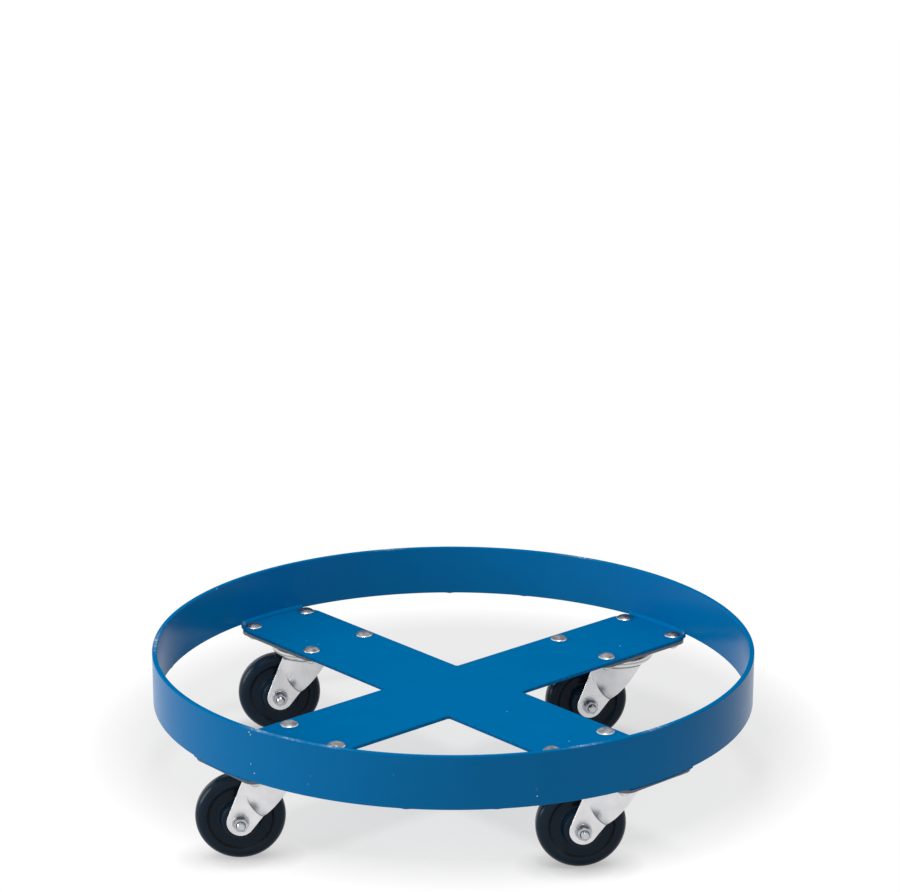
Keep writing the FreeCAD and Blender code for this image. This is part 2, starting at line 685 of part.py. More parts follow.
def make_fork(label, arm, turn):
    """Pressed fork: dished crown, two flat legs and the bulge of the horn above them."""
    body = new_body(label)
    # Horn, trimmed from the side to the outline of the legs
    horn = new_sketch(body, "XZ_Plane")
    draw_horn(horn, "horn_radius", "horn_curve", "leg_in")
    spin(body, horn)
    trim = new_sketch(body, "XZ_Plane")
    draw_leg_sides(trim)
    draw_outline(trim, [
        ("leg_front", "crown_low"), ("trim_reach", "crown_low"), ("trim_reach", "trim_low"),
        ("-trim_reach", "trim_low"), ("-trim_reach", "crown_low"), ("-leg_back", "crown_low"),
    ], closed=False)
    pocket(body, trim)
    # Flat legs, then the hollow of the horn and the slot for the wheel
    legs = new_sketch(body, "XZ_Plane")
    draw_leg_sides(legs)
    draw_outline(legs, [("leg_front", "crown_low"), ("-leg_back", "crown_low")], closed=False)
    pad(body, legs, "leg_span", both_ways=True)
    hollow = new_sketch(body, "XZ_Plane")
    draw_horn(hollow, "horn_inner", "horn_inner_curve", "horn_inner_end")
    spin(body, hollow, cut=True)
    slot = new_sketch(body, "YZ_Plane")
    draw_outline(slot, [
        ("-leg_in", "trim_low"), ("leg_in", "trim_low"), ("leg_in", "crown_low"), ("-leg_in", "crown_low"),
    ])
    pocket(body, slot)
    # Crown with its upturned rim and the raised middle that the lower balls run under
    crown = new_sketch(body, "XZ_Plane")
    draw_crown(crown)
    spin(body, crown)
    for race in ("upper", "lower"):
        track = new_sketch(body, "XZ_Plane")
        draw_circle(track, race + "_track", race + "_centre", race + "_groove")
        spin(body, track, cut=True)
    axle = new_sketch(body, "XZ_Plane")
    draw_circle(axle, "-trail", "axle_height", "axle_hole")
    pocket(body, axle)
    place_on_castor(body, arm, turn)


def add_hex(body, face, length, reverse):
    """Hexagon square to the axle, from a face out to its end."""
    sketch = new_sketch(body, "XZ_Plane", face)
    draw_outline(sketch, [
        ("hex_corner", "0"), ("hex_half_corner", "hex_half"), ("-hex_half_corner", "hex_half"),
        ("-hex_corner", "0"), ("-hex_half_corner", "-hex_half"), ("hex_half_corner", "-hex_half"),
    ])
    pad(body, sketch, length, reverse=reverse)


def chamfer_hex(body, end, shoulder):
    """Turn the corners off the outer end of a hexagon."""
    sketch = new_sketch(body, "XY_Plane")
    draw_outline(sketch, [("hex_crest", end), ("hex_outside", end), ("hex_outside", shoulder)])
    spin(body, sketch, cut=True)


def make_axle_bolt(label, arm, turn):
    """Hexagon bolt through both legs, with its head at the back."""
    body = new_body(label)
    add_hex(body, "-leg_out", "bolt_head_height", True)
    chamfer_hex(body, "head_face", "head_shoulder")
    shank = new_sketch(body, "XY_Plane")
    draw_outline(shank, [
        ("0", "-bolt_tip"), ("bolt_tip_radius", "-bolt_tip"), ("axle_radius", "-bolt_tip_edge"),
        ("axle_radius", "leg_out"), ("0", "leg_out"),
    ])
    spin(body, shank)
    place_on_castor(body, arm, turn, at_axle=True)


def make_axle_nut(label, arm, turn):
    """Hexagon nut on the front end of the axle bolt."""
    body = new_body(label)
    add_hex(body, "washer_face", "nut_height", False)
    chamfer_hex(body, "-nut_face", "-nut_shoulder")
    bore = new_sketch(body, "XZ_Plane")
    draw_circle(bore, "0", "0", "axle_hole")
    pocket(body, bore)
    place_on_castor(body, arm, turn, at_axle=True)


def make_tube(label, arm, turn, inside, outside, low, high):
    """Round tube about the axle between two places along it."""
    body = new_body(label)
    sketch = new_sketch(body, "XY_Plane")
    draw_outline(sketch, [(inside, low), (outside, low), (outside, high), (inside, high)])
    spin(body, sketch)
    place_on_castor(body, arm, turn, at_axle=True)


# Wheel
def make_wheel(label, arm, turn):
    """Moulded wheel: rounded tread, recessed web and a hub that takes the bush."""
    body = new_body(label)
    sketch = new_sketch(body, "XY_Plane")
    near_side = [
        ("bush_out", "hub_half"), ("hub_radius", "hub_half"), ("hub_root", "web_half"),
        ("rim_root", "web_half"), ("rim_mouth", "tread_half"), ("wheel_radius", "tread_half"),
    ]
    far_side = [(radius, "-" + place) for radius, place in reversed(near_side)]
    draw_outline(sketch, near_side + far_side)
    blank = spin(body, sketch)
    doc.recompute()
    tread = circle_edges(blank.Shape, number("wheel_radius"), number("tread_half"), 1)
    rounded = fillet(body, blank, tread, "tread_round")
    doc.recompute()
    soft = []
    for radius, height in (
        ("hub_radius", "hub_half"), ("hub_root", "web_half"),
        ("rim_root", "web_half"), ("rim_mouth", "tread_half"),
    ):
        soft += circle_edges(rounded.Shape, number(radius), number(height), 1)
    fillet(body, rounded, soft, "hub_round")
    place_on_castor(body, arm, turn, at_axle=True)


# The whole trolley
make_ring()
make_cross()
make_welds()
for corner, arm in CASTORS.items():
    turn = cell(corner + "_turn")
    make_top_plate(corner + "_top_plate", arm)
    make_rivets(corner + "_rivets", arm)
    make_kingpin(corner + "_kingpin", arm, turn)
    make_retainer(corner + "_ball_retainer", arm, turn)
    make_balls(corner + "_upper_balls", arm, turn, "upper")
    make_balls(corner + "_lower_balls", arm, turn, "lower")
    make_fork(corner + "_fork", arm, turn)
    make_axle_bolt(corner + "_axle_bolt", arm, turn)
    make_axle_nut(corner + "_axle_nut", arm, turn)
    make_tube(corner + "_axle_washer", arm, turn, "axle_hole", "washer_radius", "-washer_face", "-leg_out")
    make_tube(corner + "_axle_sleeve", arm, turn, "axle_hole", "sleeve_out", "-leg_in", "leg_in")
    make_wheel(corner + "_wheel", arm, turn)
    make_tube(corner + "_wheel_bush", arm, turn, "bush_in", "bush_out", "-hub_half", "hub_half")
doc.recompute()

# Every feature has to have worked before anything is written
for item in doc.Objects:
    if {"Invalid", "Error"} & set(item.State):
        raise RuntimeError(f"{item.Label} failed: {item.State}")
for body in nodes:
    if body.Shape.isNull() or not body.Shape.isValid():
        raise RuntimeError(f"{body.Label} has no valid shape")

os.makedirs("parts", exist_ok=True)
for body in nodes:
    body.Shape.exportStep(f"parts/{body.Label}.step")
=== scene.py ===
"""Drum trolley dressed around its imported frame: blue ring and cross, rivets, zinc castors, black wheels.

Lengths are metres in the frame's axes: X to the right, Y to the rear, Z up from the floor. A castor's
pieces are worked out in its own axes first: X ahead of the swivel axis, Y along the axle and Z up, with
the origin on the floor below the swivel axis.
"""

import json
import math

import bmesh
import bpy
import numpy as np
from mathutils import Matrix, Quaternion, Vector


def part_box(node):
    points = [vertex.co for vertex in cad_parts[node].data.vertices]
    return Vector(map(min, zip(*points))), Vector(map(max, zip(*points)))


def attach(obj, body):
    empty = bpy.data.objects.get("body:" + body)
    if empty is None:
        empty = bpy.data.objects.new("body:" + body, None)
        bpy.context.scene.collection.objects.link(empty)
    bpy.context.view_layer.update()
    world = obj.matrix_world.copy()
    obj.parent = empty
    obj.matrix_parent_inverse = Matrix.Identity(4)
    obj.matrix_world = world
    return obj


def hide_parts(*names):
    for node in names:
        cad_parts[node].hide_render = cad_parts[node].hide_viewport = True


bl_info = {
    "name": "Drum trolley",
    "version": (1, 0, 0),
    "blender": (4, 5, 0),
    "location": "3D View > Sidebar > Drum trolley",
    "description": "Dresses the packed drum trolley with its painted, plated and moulded pieces",
    "category": "Object",
}

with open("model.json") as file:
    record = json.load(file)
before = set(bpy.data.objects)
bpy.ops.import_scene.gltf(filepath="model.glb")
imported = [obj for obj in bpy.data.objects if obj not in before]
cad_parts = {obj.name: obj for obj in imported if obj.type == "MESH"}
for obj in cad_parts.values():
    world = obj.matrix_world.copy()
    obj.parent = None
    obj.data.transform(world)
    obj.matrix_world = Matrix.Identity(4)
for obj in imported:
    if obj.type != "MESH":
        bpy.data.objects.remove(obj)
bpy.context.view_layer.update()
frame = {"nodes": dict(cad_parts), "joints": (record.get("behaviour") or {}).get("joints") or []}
CORNERS = ("front_left", "front_right", "rear_left", "rear_right")
JOINTS = {joint["name"]: joint for joint in frame["joints"]}


def node_span(node):
    """Lowest and highest corner of a CAD node as arrays."""
    low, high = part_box(node)
    return np.array(low), np.array(high)


RING_LOW, RING_HIGH = node_span("ring")
CROSS_LOW, CROSS_HIGH = node_span("cross_plate")
PLATE_HIGH = node_span("front_left_top_plate")[1]
FORK_HIGH = node_span("front_left_fork")[1]
SWIVEL_PLACE = JOINTS["front_left_swivel_turn"]["pos_m"]
AXLE_PLACE = JOINTS["front_left_wheel_spin"]["pos_m"]
AXLE_HEIGHT = AXLE_PLACE[2]
TRAIL = math.dist(AXLE_PLACE[:2], SWIVEL_PLACE[:2])


# Settings
def length(name, default, description):
    """Length setting in metres."""
    return bpy.props.FloatProperty(
        name=name, description=description, default=default, min=0.0, unit="LENGTH", precision=5
    )


def angle(name, degrees, description):
    """Angle setting, written in degrees and kept in radians."""
    return bpy.props.FloatProperty(
        name=name, description=description, default=math.radians(degrees), unit="ROTATION", precision=4
    )


def power(name, default, description):
    """Lamp power setting in watts."""
    return bpy.props.FloatProperty(
        name=name, description=description, default=default, min=0.0, unit="POWER"
    )


def colour(name, default, description):
    """Linear colour setting."""
    return bpy.props.FloatVectorProperty(
        name=name, description=description, default=default, min=0.0, max=1.0, size=3, subtype="COLOR"
    )


class TrolleyDeckSizes(bpy.types.PropertyGroup):
    """Sizes of the ring, the cross, its welds and the rivets."""

    ring_radius: length("Ring radius", float(RING_HIGH[0]), "Outside radius of the ring")
    ring_wall: length("Ring wall", 0.005, "Thickness of the rolled bar")
    ring_edge: length("Ring edge", 0.001, "Round on the ring's upper edges")
    arm_half: length("Arm half width", 0.05, "Half of an arm's width")
    arm_cut: length("Arm corner cut", 0.008, "How far an arm narrows on each side at its end")
    arm_run: length("Arm corner run", 0.024, "Length over which an arm's end narrows")
    arm_inset: length("Arm end inset", 0.0035, "How far the arms end inside the ring's outside")
    arm_edge: length("Arm edge", 0.0006, "Round on the edges of the cross")
    weld_leg: length("Weld leg", 0.004, "Leg of the fillet weld between an arm and the ring")
    weld_reach: angle("Weld reach", 7.9, "Half of the angle round the ring that one weld covers")
    rivet_pitch_long: length("Rivet pitch along", 0.101, "Spacing of the rivets along an arm")
    rivet_pitch_wide: length("Rivet pitch across", 0.074, "Spacing of the rivets across an arm")
    rivet_shank: length("Rivet shank", 0.004, "Radius of a rivet's shank")
    rivet_top: length("Rivet top head", 0.00925, "Radius of a rivet's upper head")
    rivet_top_rise: length("Rivet top rise", 0.0042, "Height of a rivet's upper head")
    rivet_low: length("Rivet low head", 0.00775, "Radius of a rivet's lower head")
    rivet_low_rise: length("Rivet low rise", 0.0068, "Height of a rivet's lower head")
    rivet_edge: length("Rivet edge", 0.0011, "Upright edge at the foot of a rivet head")


class CastorSizes(bpy.types.PropertyGroup):
    """Sizes of a castor's plate, fork, fasteners and wheel."""

    plate_half_long: length("Plate half length", 0.0635, "Half of the top plate along the arm")
    plate_half_wide: length("Plate half width", 0.048, "Half of the top plate across the arm")
    plate_corner: length("Plate corner", 0.012, "Radius of the top plate's corners")
    plate_sheet: length("Plate sheet", 0.004, "Thickness of the top plate")
    sheet: length("Fork sheet", 0.003, "Thickness of the fork")
    race_radius: length("Race radius", 0.04, "Radius where the ball race is pressed down from the plate")
    race_press: length("Race press", 0.005, "Depth of the pressed ball race")
    rim_rise: length("Crown rim rise", 0.008, "Height of the crown's turned-up rim")
    rim_radius: length("Crown rim radius", 0.04, "Outside radius of the crown's rim")
    rim_round: length("Crown rim round", 0.0058, "Round under the crown's rim")
    crown_hole: length("Crown hole", 0.0058, "Radius of the hole for the kingpin")
    crown_step: length("Crown step", 0.005, "Rise of the crown's middle")
    step_radius: length("Step radius", 0.01505, "Radius of the crown's raised middle, underneath")
    step_run: length("Step run", 0.002, "Slope of the crown's raised middle")
    horn_radius: length("Horn radius", 0.0345, "Radius of the rounded shoulders under the crown")
    horn_straight: length("Horn straight", 0.012, "Upright part of the shoulders")
    horn_curve: length("Horn curve", 0.045, "Radius with which the shoulders run into the legs")
    horn_blend: length("Horn blend", 0.0006, "Softness of the crease between shoulder and leg, at its foot")
    crease_top: length("Crease top", 0.063, "Height from which the crease fades out upwards")
    crease_soft: length("Crease softness", 0.008, "Softness of the crease at the crown")
    leg_back: length("Leg back", 0.030, "How far a leg reaches behind the swivel axis at the crown")
    leg_front: length("Leg front", 0.021, "How far a leg reaches ahead of the swivel axis at the crown")
    leg_tip: length("Leg tip", 0.014, "Radius of a leg's rounded tip")
    leg_inside: length("Leg inside", 0.0185, "Half of the room between the legs")
    leg_edge: length("Leg edge", 0.0006, "Round on the cut edges of a leg")
    wheel_radius: length("Wheel radius", 0.045, "Radius of the wheel")
    tread_half: length("Tread half width", 0.011, "Half of the tread's width")
    tread_round: length("Tread round", 0.009, "Round at the tread's shoulders")
    rim_mouth: length("Rim mouth", 0.0335, "Radius at the mouth of the recess beside the rim")
    web_draft: length("Web draft", 0.002, "Slope of the recess walls")
    web_half: length("Web half", 0.007, "Half of the web's thickness")
    hub_radius: length("Hub radius", 0.0185, "Radius of the hub's face")
    hub_half: length("Hub half length", 0.018, "Half of the hub's length")
    hub_bore: length("Hub bore", 0.00818, "Radius of the hub's bore, round the bush")
    axle_radius: length("Axle radius", 0.004, "Radius of the axle bolt")
    thread_pitch: length("Thread pitch", 0.00125, "Pitch of the axle bolt's thread")
    hex_half: length("Hex half", 0.0065, "Half of the nut's and bolt head's width across flats")
    hex_chamfer: length("Hex chamfer", 0.0009, "Depth of the turned chamfer on the hexagons")
    nut_height: length("Nut height", 0.0065, "Height of the axle nut")
    head_height: length("Bolt head height", 0.0053, "Height of the axle bolt's head")
    bolt_end: length("Bolt end", 0.0035, "Length of thread that stands out of the nut")
    washer_radius: length("Washer radius", 0.0085, "Radius of the washer under the nut")
    washer_height: length("Washer height", 0.0016, "Thickness of the washer")


class TrolleyColours(bpy.types.PropertyGroup):
    """Colours of the finishes."""

    enamel: colour("Enamel", (0.0, 0.155, 0.40), "Blue gloss enamel on the ring and cross")
    enamel_pale: colour("Worn enamel", (0.50, 0.62, 0.72), "Chips and rubbed edges of the enamel")
    zinc: colour("Zinc", (0.80, 0.80, 0.81), "Plated sheet of the castors")
    zinc_dull: colour("Dull zinc", (0.63, 0.63, 0.65), "Duller patches of the plated sheet")
    # Colour of the painted shade on the plated pieces, and of the dirt round the nut bores
    shade_and_dirt: colour("Dirt", (0.055, 0.055, 0.06), "Dirt in the creases of the plated sheet")
    rivet: colour("Rivet", (0.36, 0.37, 0.39), "Plated rivet heads")
    rivet_dark: colour("Dark rivet", (0.12, 0.115, 0.12), "Hammered hollows in the rivet heads")
    fastener: colour("Fastener", (0.50, 0.52, 0.55), "Bright plated nut, bolt and washer")
    bearing: colour("Bearing", (0.46, 0.45, 0.44), "Balls and turned steel inside the castor")
    grease: colour("Grease", (0.14, 0.10, 0.06), "Film of old grease in the bearing")
    wheel: colour("Wheel", (0.006, 0.018, 0.034), "Black moulded wheel")
    # Colour of the dust, and of the painted light on the recess wall
    wheel_dust_and_light: colour("Wheel dust", (0.040, 0.044, 0.050), "Dust on the wheel")
    floor: colour("Floor", (0.45, 0.45, 0.45), "Floor under the light")


class TrolleyStage(bpy.types.PropertyGroup):
    """Camera and light."""

    camera_distance: length("Camera distance", 3.0272, "Distance of the camera from the middle of the cross")
    camera_azimuth: angle("Camera azimuth", -86.75, "Direction of the camera from the X axis")
    camera_elevation: angle("Camera elevation", 21.25, "Height of the camera above the cross")
    camera_yaw: angle("Camera yaw", 0.0665, "Turn of the camera about its own upright")
    camera_pitch: angle("Camera pitch", 4.803, "Tilt of the camera, upwards")
    camera_roll: angle("Camera roll", -0.088, "Roll of the camera about its line of sight")
    lens: bpy.props.FloatProperty(
        name="Lens", description="Focal length on a 36 mm sensor", default=116.1, subtype="DISTANCE_CAMERA"
    )
    sky: bpy.props.FloatProperty(
        name="Sky", description="Even light from all round", default=0.5, min=0.0, max=1.0, subtype="FACTOR"
    )
    key_power: power("Key power", 100.0, "Soft light from the left")
    top_power: power("Top power", 46.0, "Soft light from above the front")


# Profiles and grids
def round_corners(corners, radii, steps):
    """Polygon with an arc in place of each corner.

    An arc of radius r leaves each side at r / tan(half of the corner's angle) from the corner, has its
    centre on the corner's middle line at r / sin(half), and swings evenly from one side to the other.
    """
    corners = np.asarray(corners, float)
    radii = np.asarray(radii, float)[:, None]
    back = np.roll(corners, 1, 0) - corners
    ahead = np.roll(corners, -1, 0) - corners
    back /= np.linalg.norm(back, axis=1, keepdims=True)
    ahead /= np.linalg.norm(ahead, axis=1, keepdims=True)
    middle = back + ahead
    middle /= np.linalg.norm(middle, axis=1, keepdims=True)
    half = np.arccos(np.clip((back * ahead).sum(1, keepdims=True), -1.0, 1.0)) / 2
    centre = corners + middle * radii / np.sin(half)
    start = corners + back * radii / np.tan(half) - centre
    finish = corners + ahead * radii / np.tan(half) - centre
    way = np.sign(start[:, :1] * finish[:, 1:] - start[:, 1:] * finish[:, :1])
    swing = way * (np.pi - 2 * half) * np.linspace(0.0, 1.0, steps)
    x = start[:, :1] * np.cos(swing) - start[:, 1:] * np.sin(swing)
    y = start[:, :1] * np.sin(swing) + start[:, 1:] * np.cos(swing)
    return (centre[:, None, :] + np.stack([x, y], -1)).reshape(-1, 2)


def bar_corners(bore, outside, low, high):
    """Corners (radius, height) of a rectangular section, counter-clockwise."""
    return [(bore, low), (outside, low), (outside, high), (bore, high)]


def add_stations(outline, spacing):
    """Closed outline with more points on its long sides, by its length along the sides."""
    closed = np.vstack([outline, outline[:1]])
    along = np.concatenate([[0.0], np.cumsum(np.linalg.norm(np.diff(closed, axis=0), axis=1))])
    stations = np.union1d(along, np.arange(0.0, along[-1], spacing))[:-1]
    return np.stack([np.interp(stations, along, closed[:, axis]) for axis in (0, 1)], -1)


def outward(outline):
    """Unit normals of a closed counter-clockwise outline: its middle slope turned to the right."""
    slope = np.roll(outline, -1, 0) - np.roll(outline, 1, 0)
    slope /= np.linalg.norm(slope, axis=1, keepdims=True)
    return np.stack([slope[:, 1], -slope[:, 0]], -1)


def grid_faces(rows, columns, close_rows=True, close_columns=True):
    """Quads of a grid whose points are numbered row by row.

    The last row may join the first, and the last column may join the first column.
    """
    row, column = np.meshgrid(
        np.arange(rows if close_rows else rows - 1),
        np.arange(columns if close_columns else columns - 1),
        indexing="ij",
    )
    next_row, next_column = (row + 1) % rows, (column + 1) % columns
    corners = [(row, column), (row, next_column), (next_row, next_column), (next_row, column)]
    return np.stack([r * columns + c for r, c in corners], -1).reshape(-1, 4)


def cap_face(first, count):
    """One face over a closed row of points."""
    return np.arange(first, first + count)[None, :]


def circle(steps):
    """Angles round a full turn, one to a row."""
    return np.linspace(0.0, 2 * np.pi, steps, endpoint=False)[:, None]


def carried(radius, around, height):
    """Points round the Z axis: (r cos a, r sin a, h)."""
    return np.stack(np.broadcast_arrays(radius * np.cos(around), radius * np.sin(around), height), -1)


def turned(section, steps, wear):
    """Patch of a closed section of (radius, height) carried round the Z axis, one row per angle."""
    points = carried(section[:, 0], circle(steps), section[:, 1])
    return points, [grid_faces(steps, len(section))], wear


def between_poles(points, wear):
    """Patch of rows that close round an axis, where each row runs from one pole to the other."""
    return points, [grid_faces(*points.shape[:2], close_columns=False)], wear


def hammered(points, wavelength, seed, waves=24):
    """Soft uneven relief of about -1 to 1, from sine waves of one length in random directions.

    It is their mean times half of the root of their number.
    """
    random = np.random.default_rng(seed)
    direction = random.normal(size=(waves, 3))
    direction *= 2 * np.pi / (wavelength * np.linalg.norm(direction, axis=1, keepdims=True))
    start = random.uniform(0, 2 * np.pi, waves)
    return np.sin(points @ direction.T + start).mean(-1) * math.sqrt(waves) / 2


def hump(values, middle, width):
    """Smooth bump, exp(-((value - middle) / width)^2)."""
    return np.exp(-(((values - middle) / width) ** 2))


def smooth_max(a, b, blend):
    """Larger of two surfaces, rounded where they meet: half of a + b + sqrt((a - b)^2 + blend^2)."""
    return (a + b + np.sqrt((a - b) ** 2 + blend**2)) / 2


def half_round(size, reach):
    """Upright leg of a right triangle, sqrt(size^2 - reach^2), and nought where there is none."""
    return np.sqrt(np.maximum(size**2 - reach**2, 0.0))


# Pieces
MERGE_DISTANCE = 2e-6
SLIVER_LENGTH = 1e-7
UP = np.array([0.0, 0.0, 1.0])


def make_piece(name, patches, material, body, node, sharp=40.0):
    """Object in the place of a CAD node, from patches of points, faces and wear.

    Doubles are merged, the faces turned outwards, and edges above the angle sharp are left sharp.
    """
    points, faces, wear, count = [], [], [], 0
    for patch_points, blocks, patch_wear in patches:
        flat = patch_points.reshape(-1, 3)
        points.append(flat)
        for block in blocks:
            faces += (block + count).tolist()
        wear.append(np.broadcast_to(patch_wear, patch_points.shape[:-1]).reshape(-1))
        count += len(flat)
    mesh = bpy.data.meshes.new(name)
    mesh.from_pydata(np.concatenate(points).tolist(), [], faces)
    mesh.attributes.new("wear", "FLOAT", "POINT").data.foreach_set("value", np.concatenate(wear))
    shell = bmesh.new()
    shell.from_mesh(mesh)
    bmesh.ops.remove_doubles(shell, verts=shell.verts, dist=MERGE_DISTANCE)
    bmesh.ops.dissolve_degenerate(shell, edges=shell.edges, dist=SLIVER_LENGTH)
    bmesh.ops.recalc_face_normals(shell, faces=shell.faces)
    shell.to_mesh(mesh)
    shell.free()
    mesh.shade_smooth()
    mesh.set_sharp_from_angle(angle=math.radians(sharp))
    mesh.materials.append(material)
    piece = bpy.data.objects.new(name, mesh)
    bpy.context.scene.collection.objects.link(piece)
    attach(piece, body)
    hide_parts(node)


def placed(parts, corner, ahead):
    """Patches with X ahead, Z up and their origin below a castor's swivel axis, put in the frame."""
    swivel = JOINTS[f"{corner}_swivel_turn"]["pos_m"]
    base = np.array([swivel[0], swivel[1], 0.0])
    forward, across = np.array([ahead[0], ahead[1], 0.0]), np.array([-ahead[1], ahead[0], 0.0])
    moved = []
    for points, faces, wear in parts:
        x, y, z = np.split(points, 3, -1)
        moved.append((base + x * forward + y * across + z * UP, faces, wear))
    return moved


def on_castor(parts, corner):
    """Patches of a castor's own axes, put in the frame."""
    along = JOINTS[f"{corner}_wheel_spin"]["axis"]
    return placed(parts, corner, (along[1], -along[0]))


def on_arm(parts, corner):
    """Patches with X along a castor's arm, put in the frame."""
    swivel = np.array(JOINTS[f"{corner}_swivel_turn"]["pos_m"][:2])
    return placed(parts, corner, swivel / np.linalg.norm(swivel))


def on_axle(patch, start=0.0, side=1):
    """Patch turned about Z, laid on the axle of a castor's own axes, from start outwards on one side."""
    points, faces, wear = patch
    x, y, z = np.moveaxis(points, -1, 0)
    return np.stack([x - TRAIL, side * (start + z), AXLE_HEIGHT + y], -1), faces, wear


# Ring: (degrees round it, width in degrees) of the chipped places on its upper edge
CHIPS = (
    (236.0, 4.0),
    (243.5, 3.5),
    (251.5, 3.5),
    (297.0, 4.5),
    (312.0, 4.0),
    (107.0, 5.0),
    (66.0, 6.0),
    (183.0, 8.0),
)
# (degrees, drop) of the paint that hangs from the lower edge
DRIPS = ((94.0, 0.0009), (78.0, 0.0006), (265.0, 0.0008), (281.0, 0.0005), (171.0, 0.0007))
DRIP_WIDTH = 0.55
# (degrees, height, width) of the scuffs on the outside
SCUFFS = ((247.6, 0.136, 0.0022), (247.0, 0.127, 0.0013), (263.0, 0.148, 0.0016), (288.0, 0.131, 0.0014))
# (count, size, start) of the waves in the rolled radius
WAVES = ((3, 0.00010, 0.6), (7, 0.00006, 2.0))
RING_STEPS = 720
RING_SPACING = 0.0016
FOOT_ROUND = 0.0005
FOOT_FADE = 0.0012
EDGE_FADE = 0.0011
EDGE_WEAR, CHIP_WEAR, FOOT_WEAR, SCUFF_WEAR = 0.06, 0.72, 0.12, 0.75


def ring_patch(deck):
    """Rolled bar: a rounded bar section (r, z) carried round the Z axis, (r cos a, r sin a, z).

    The radius wanders by about a tenth of a millimetre as rolled bar does, and humps of paint hang from
    the lower edge. Wear falls off from the two edges and rises at the chipped places and the scuffs.
    """
    bore, low, high = deck.ring_radius - deck.ring_wall, RING_LOW[2], RING_HIGH[2]
    rounds = [FOOT_ROUND, FOOT_ROUND, deck.ring_edge, deck.ring_edge]
    section = round_corners(bar_corners(bore, deck.ring_radius, low, high), rounds, 7)
    section = add_stations(section, RING_SPACING)
    around = circle(RING_STEPS)
    degrees = np.degrees(around)
    radius = section[:, 0] + sum(size * np.sin(count * around + start) for count, size, start in WAVES)
    height = np.broadcast_to(section[:, 1], radius.shape).copy()
    at_foot = np.exp(-(height - low) / FOOT_FADE)
    for spot, drop in DRIPS:
        height -= drop * hump(degrees, spot, DRIP_WIDTH) * at_foot
    chipped = np.minimum(sum(hump(degrees, spot, width) for spot, width in CHIPS), 1.0)
    wear = np.exp(-(high - height) / EDGE_FADE) * (EDGE_WEAR + CHIP_WEAR * chipped) + FOOT_WEAR * at_foot
    outside = section[:, 0] > deck.ring_radius - FOOT_ROUND
    for spot, level, width in SCUFFS:
        arc = np.radians(degrees - spot) * deck.ring_radius
        wear += SCUFF_WEAR * outside * hump(np.hypot(arc, height - level), 0.0, width)
    points = carried(radius, around, height)
    return points, [grid_faces(RING_STEPS, len(section))], np.clip(wear, 0.0, 1.0)


class TROLLEY_OT_ring(bpy.types.Operator):
    """Make the rolled ring with its soft edges and hanging paint"""

    bl_idname = "trolley.ring"
    bl_label = "Ring"

    def execute(self, context):
        patch = ring_patch(context.scene.trolley_deck)
        make_piece("ring_bar", [patch], ring_enamel(context), "frame", "ring")
        return {"FINISHED"}


# Cross: rounds of an arm's inside corner, shoulders and end, and wear on the lower and upper edges
DIAGONALS = np.pi / 4 + np.pi / 2 * np.arange(4)
ARM_ROUNDS = (0.0025, 0.004, 0.0018, 0.0018, 0.004)
CROSS_SPACING = 0.004
END_MARGIN = 1e-6
SLAB_STEPS = 5
SLAB_FLAT = 0.0009
SLAB_LOW_WEAR = (0.1, 0.3)
SLAB_TOP_WEAR = (0.3, 0.2)


def cross_outline(deck):
    """Outline of the cross, counter-clockwise: one arm's corners, then three more at quarter turns.

    An arm starts at the inside corner, runs out to its shoulder and narrows along a line that aims at the
    ring's outside, as far as a circle a little inside that. Small arcs stand in for the corners, and the
    points of an arm's straight end are moved out to the circle.
    """
    reach = deck.ring_radius - deck.arm_inset
    aim = math.sqrt(deck.ring_radius**2 - (deck.arm_half - deck.arm_cut) ** 2)
    shoulder = aim - deck.arm_run
    clip = np.array([deck.arm_run, -deck.arm_cut]) / math.hypot(deck.arm_run, deck.arm_cut)
    along = shoulder * clip[0] + deck.arm_half * clip[1]
    short = math.sqrt(along**2 - shoulder**2 - deck.arm_half**2 + reach**2) - along
    end, end_half = shoulder + short * clip[0], deck.arm_half + short * clip[1]
    arm = np.array([
        (deck.arm_half, -deck.arm_half),
        (shoulder, -deck.arm_half),
        (end, -end_half),
        (end, end_half),
        (shoulder, deck.arm_half),
    ])
    turn = DIAGONALS[:, None]
    x = arm[:, 0] * np.cos(turn) - arm[:, 1] * np.sin(turn)
    y = arm[:, 0] * np.sin(turn) + arm[:, 1] * np.cos(turn)
    corners = np.stack([x, y], -1).reshape(-1, 2)
    outline = add_stations(round_corners(corners, ARM_ROUNDS * len(DIAGONALS), 8), CROSS_SPACING)
    from_middle = np.abs(outline[:, :1]) + np.abs(outline[:, 1:])
    at_end = from_middle > end * math.sqrt(2) - END_MARGIN
    return outline * np.where(at_end, reach / np.linalg.norm(outline, axis=1, keepdims=True), 1.0)


def rounded_slab(outline, low, high, edge):
    """Slab over a star-shaped outline, which moves in by edge (1 - cos t) as t goes a quarter turn.

    One more row lies flat inside each rounded edge, and the wide faces run from there straight to the
    middle. There is a little wear at the rounded edges and none on the flat rows.
    """
    swing = np.linspace(0.0, np.pi / 2, SLAB_STEPS)
    inset, rise = edge * (1 - np.cos(swing)), edge * np.sin(swing)
    inside, bare = [edge + SLAB_FLAT] * 2, [0.0] * 2
    low_wear, top_wear = np.linspace(*SLAB_LOW_WEAR, SLAB_STEPS), np.linspace(*SLAB_TOP_WEAR, SLAB_STEPS)
    rows_in = np.concatenate([inside, inset[::-1], inset, inside])
    rows_up = np.concatenate([[low] * 2, low + edge - rise[::-1], high - edge + rise, [high] * 2])
    rows_wear = np.concatenate([bare, low_wear, top_wear, bare])
    plan = outline - rows_in[:, None, None] * outward(outline)
    plan[[0, -1]] = 0.0
    height = np.broadcast_to(rows_up[:, None], plan.shape[:2])
    points = np.concatenate([plan, height[..., None]], -1)
    return points, [grid_faces(*plan.shape[:2], close_rows=False)], rows_wear[:, None]


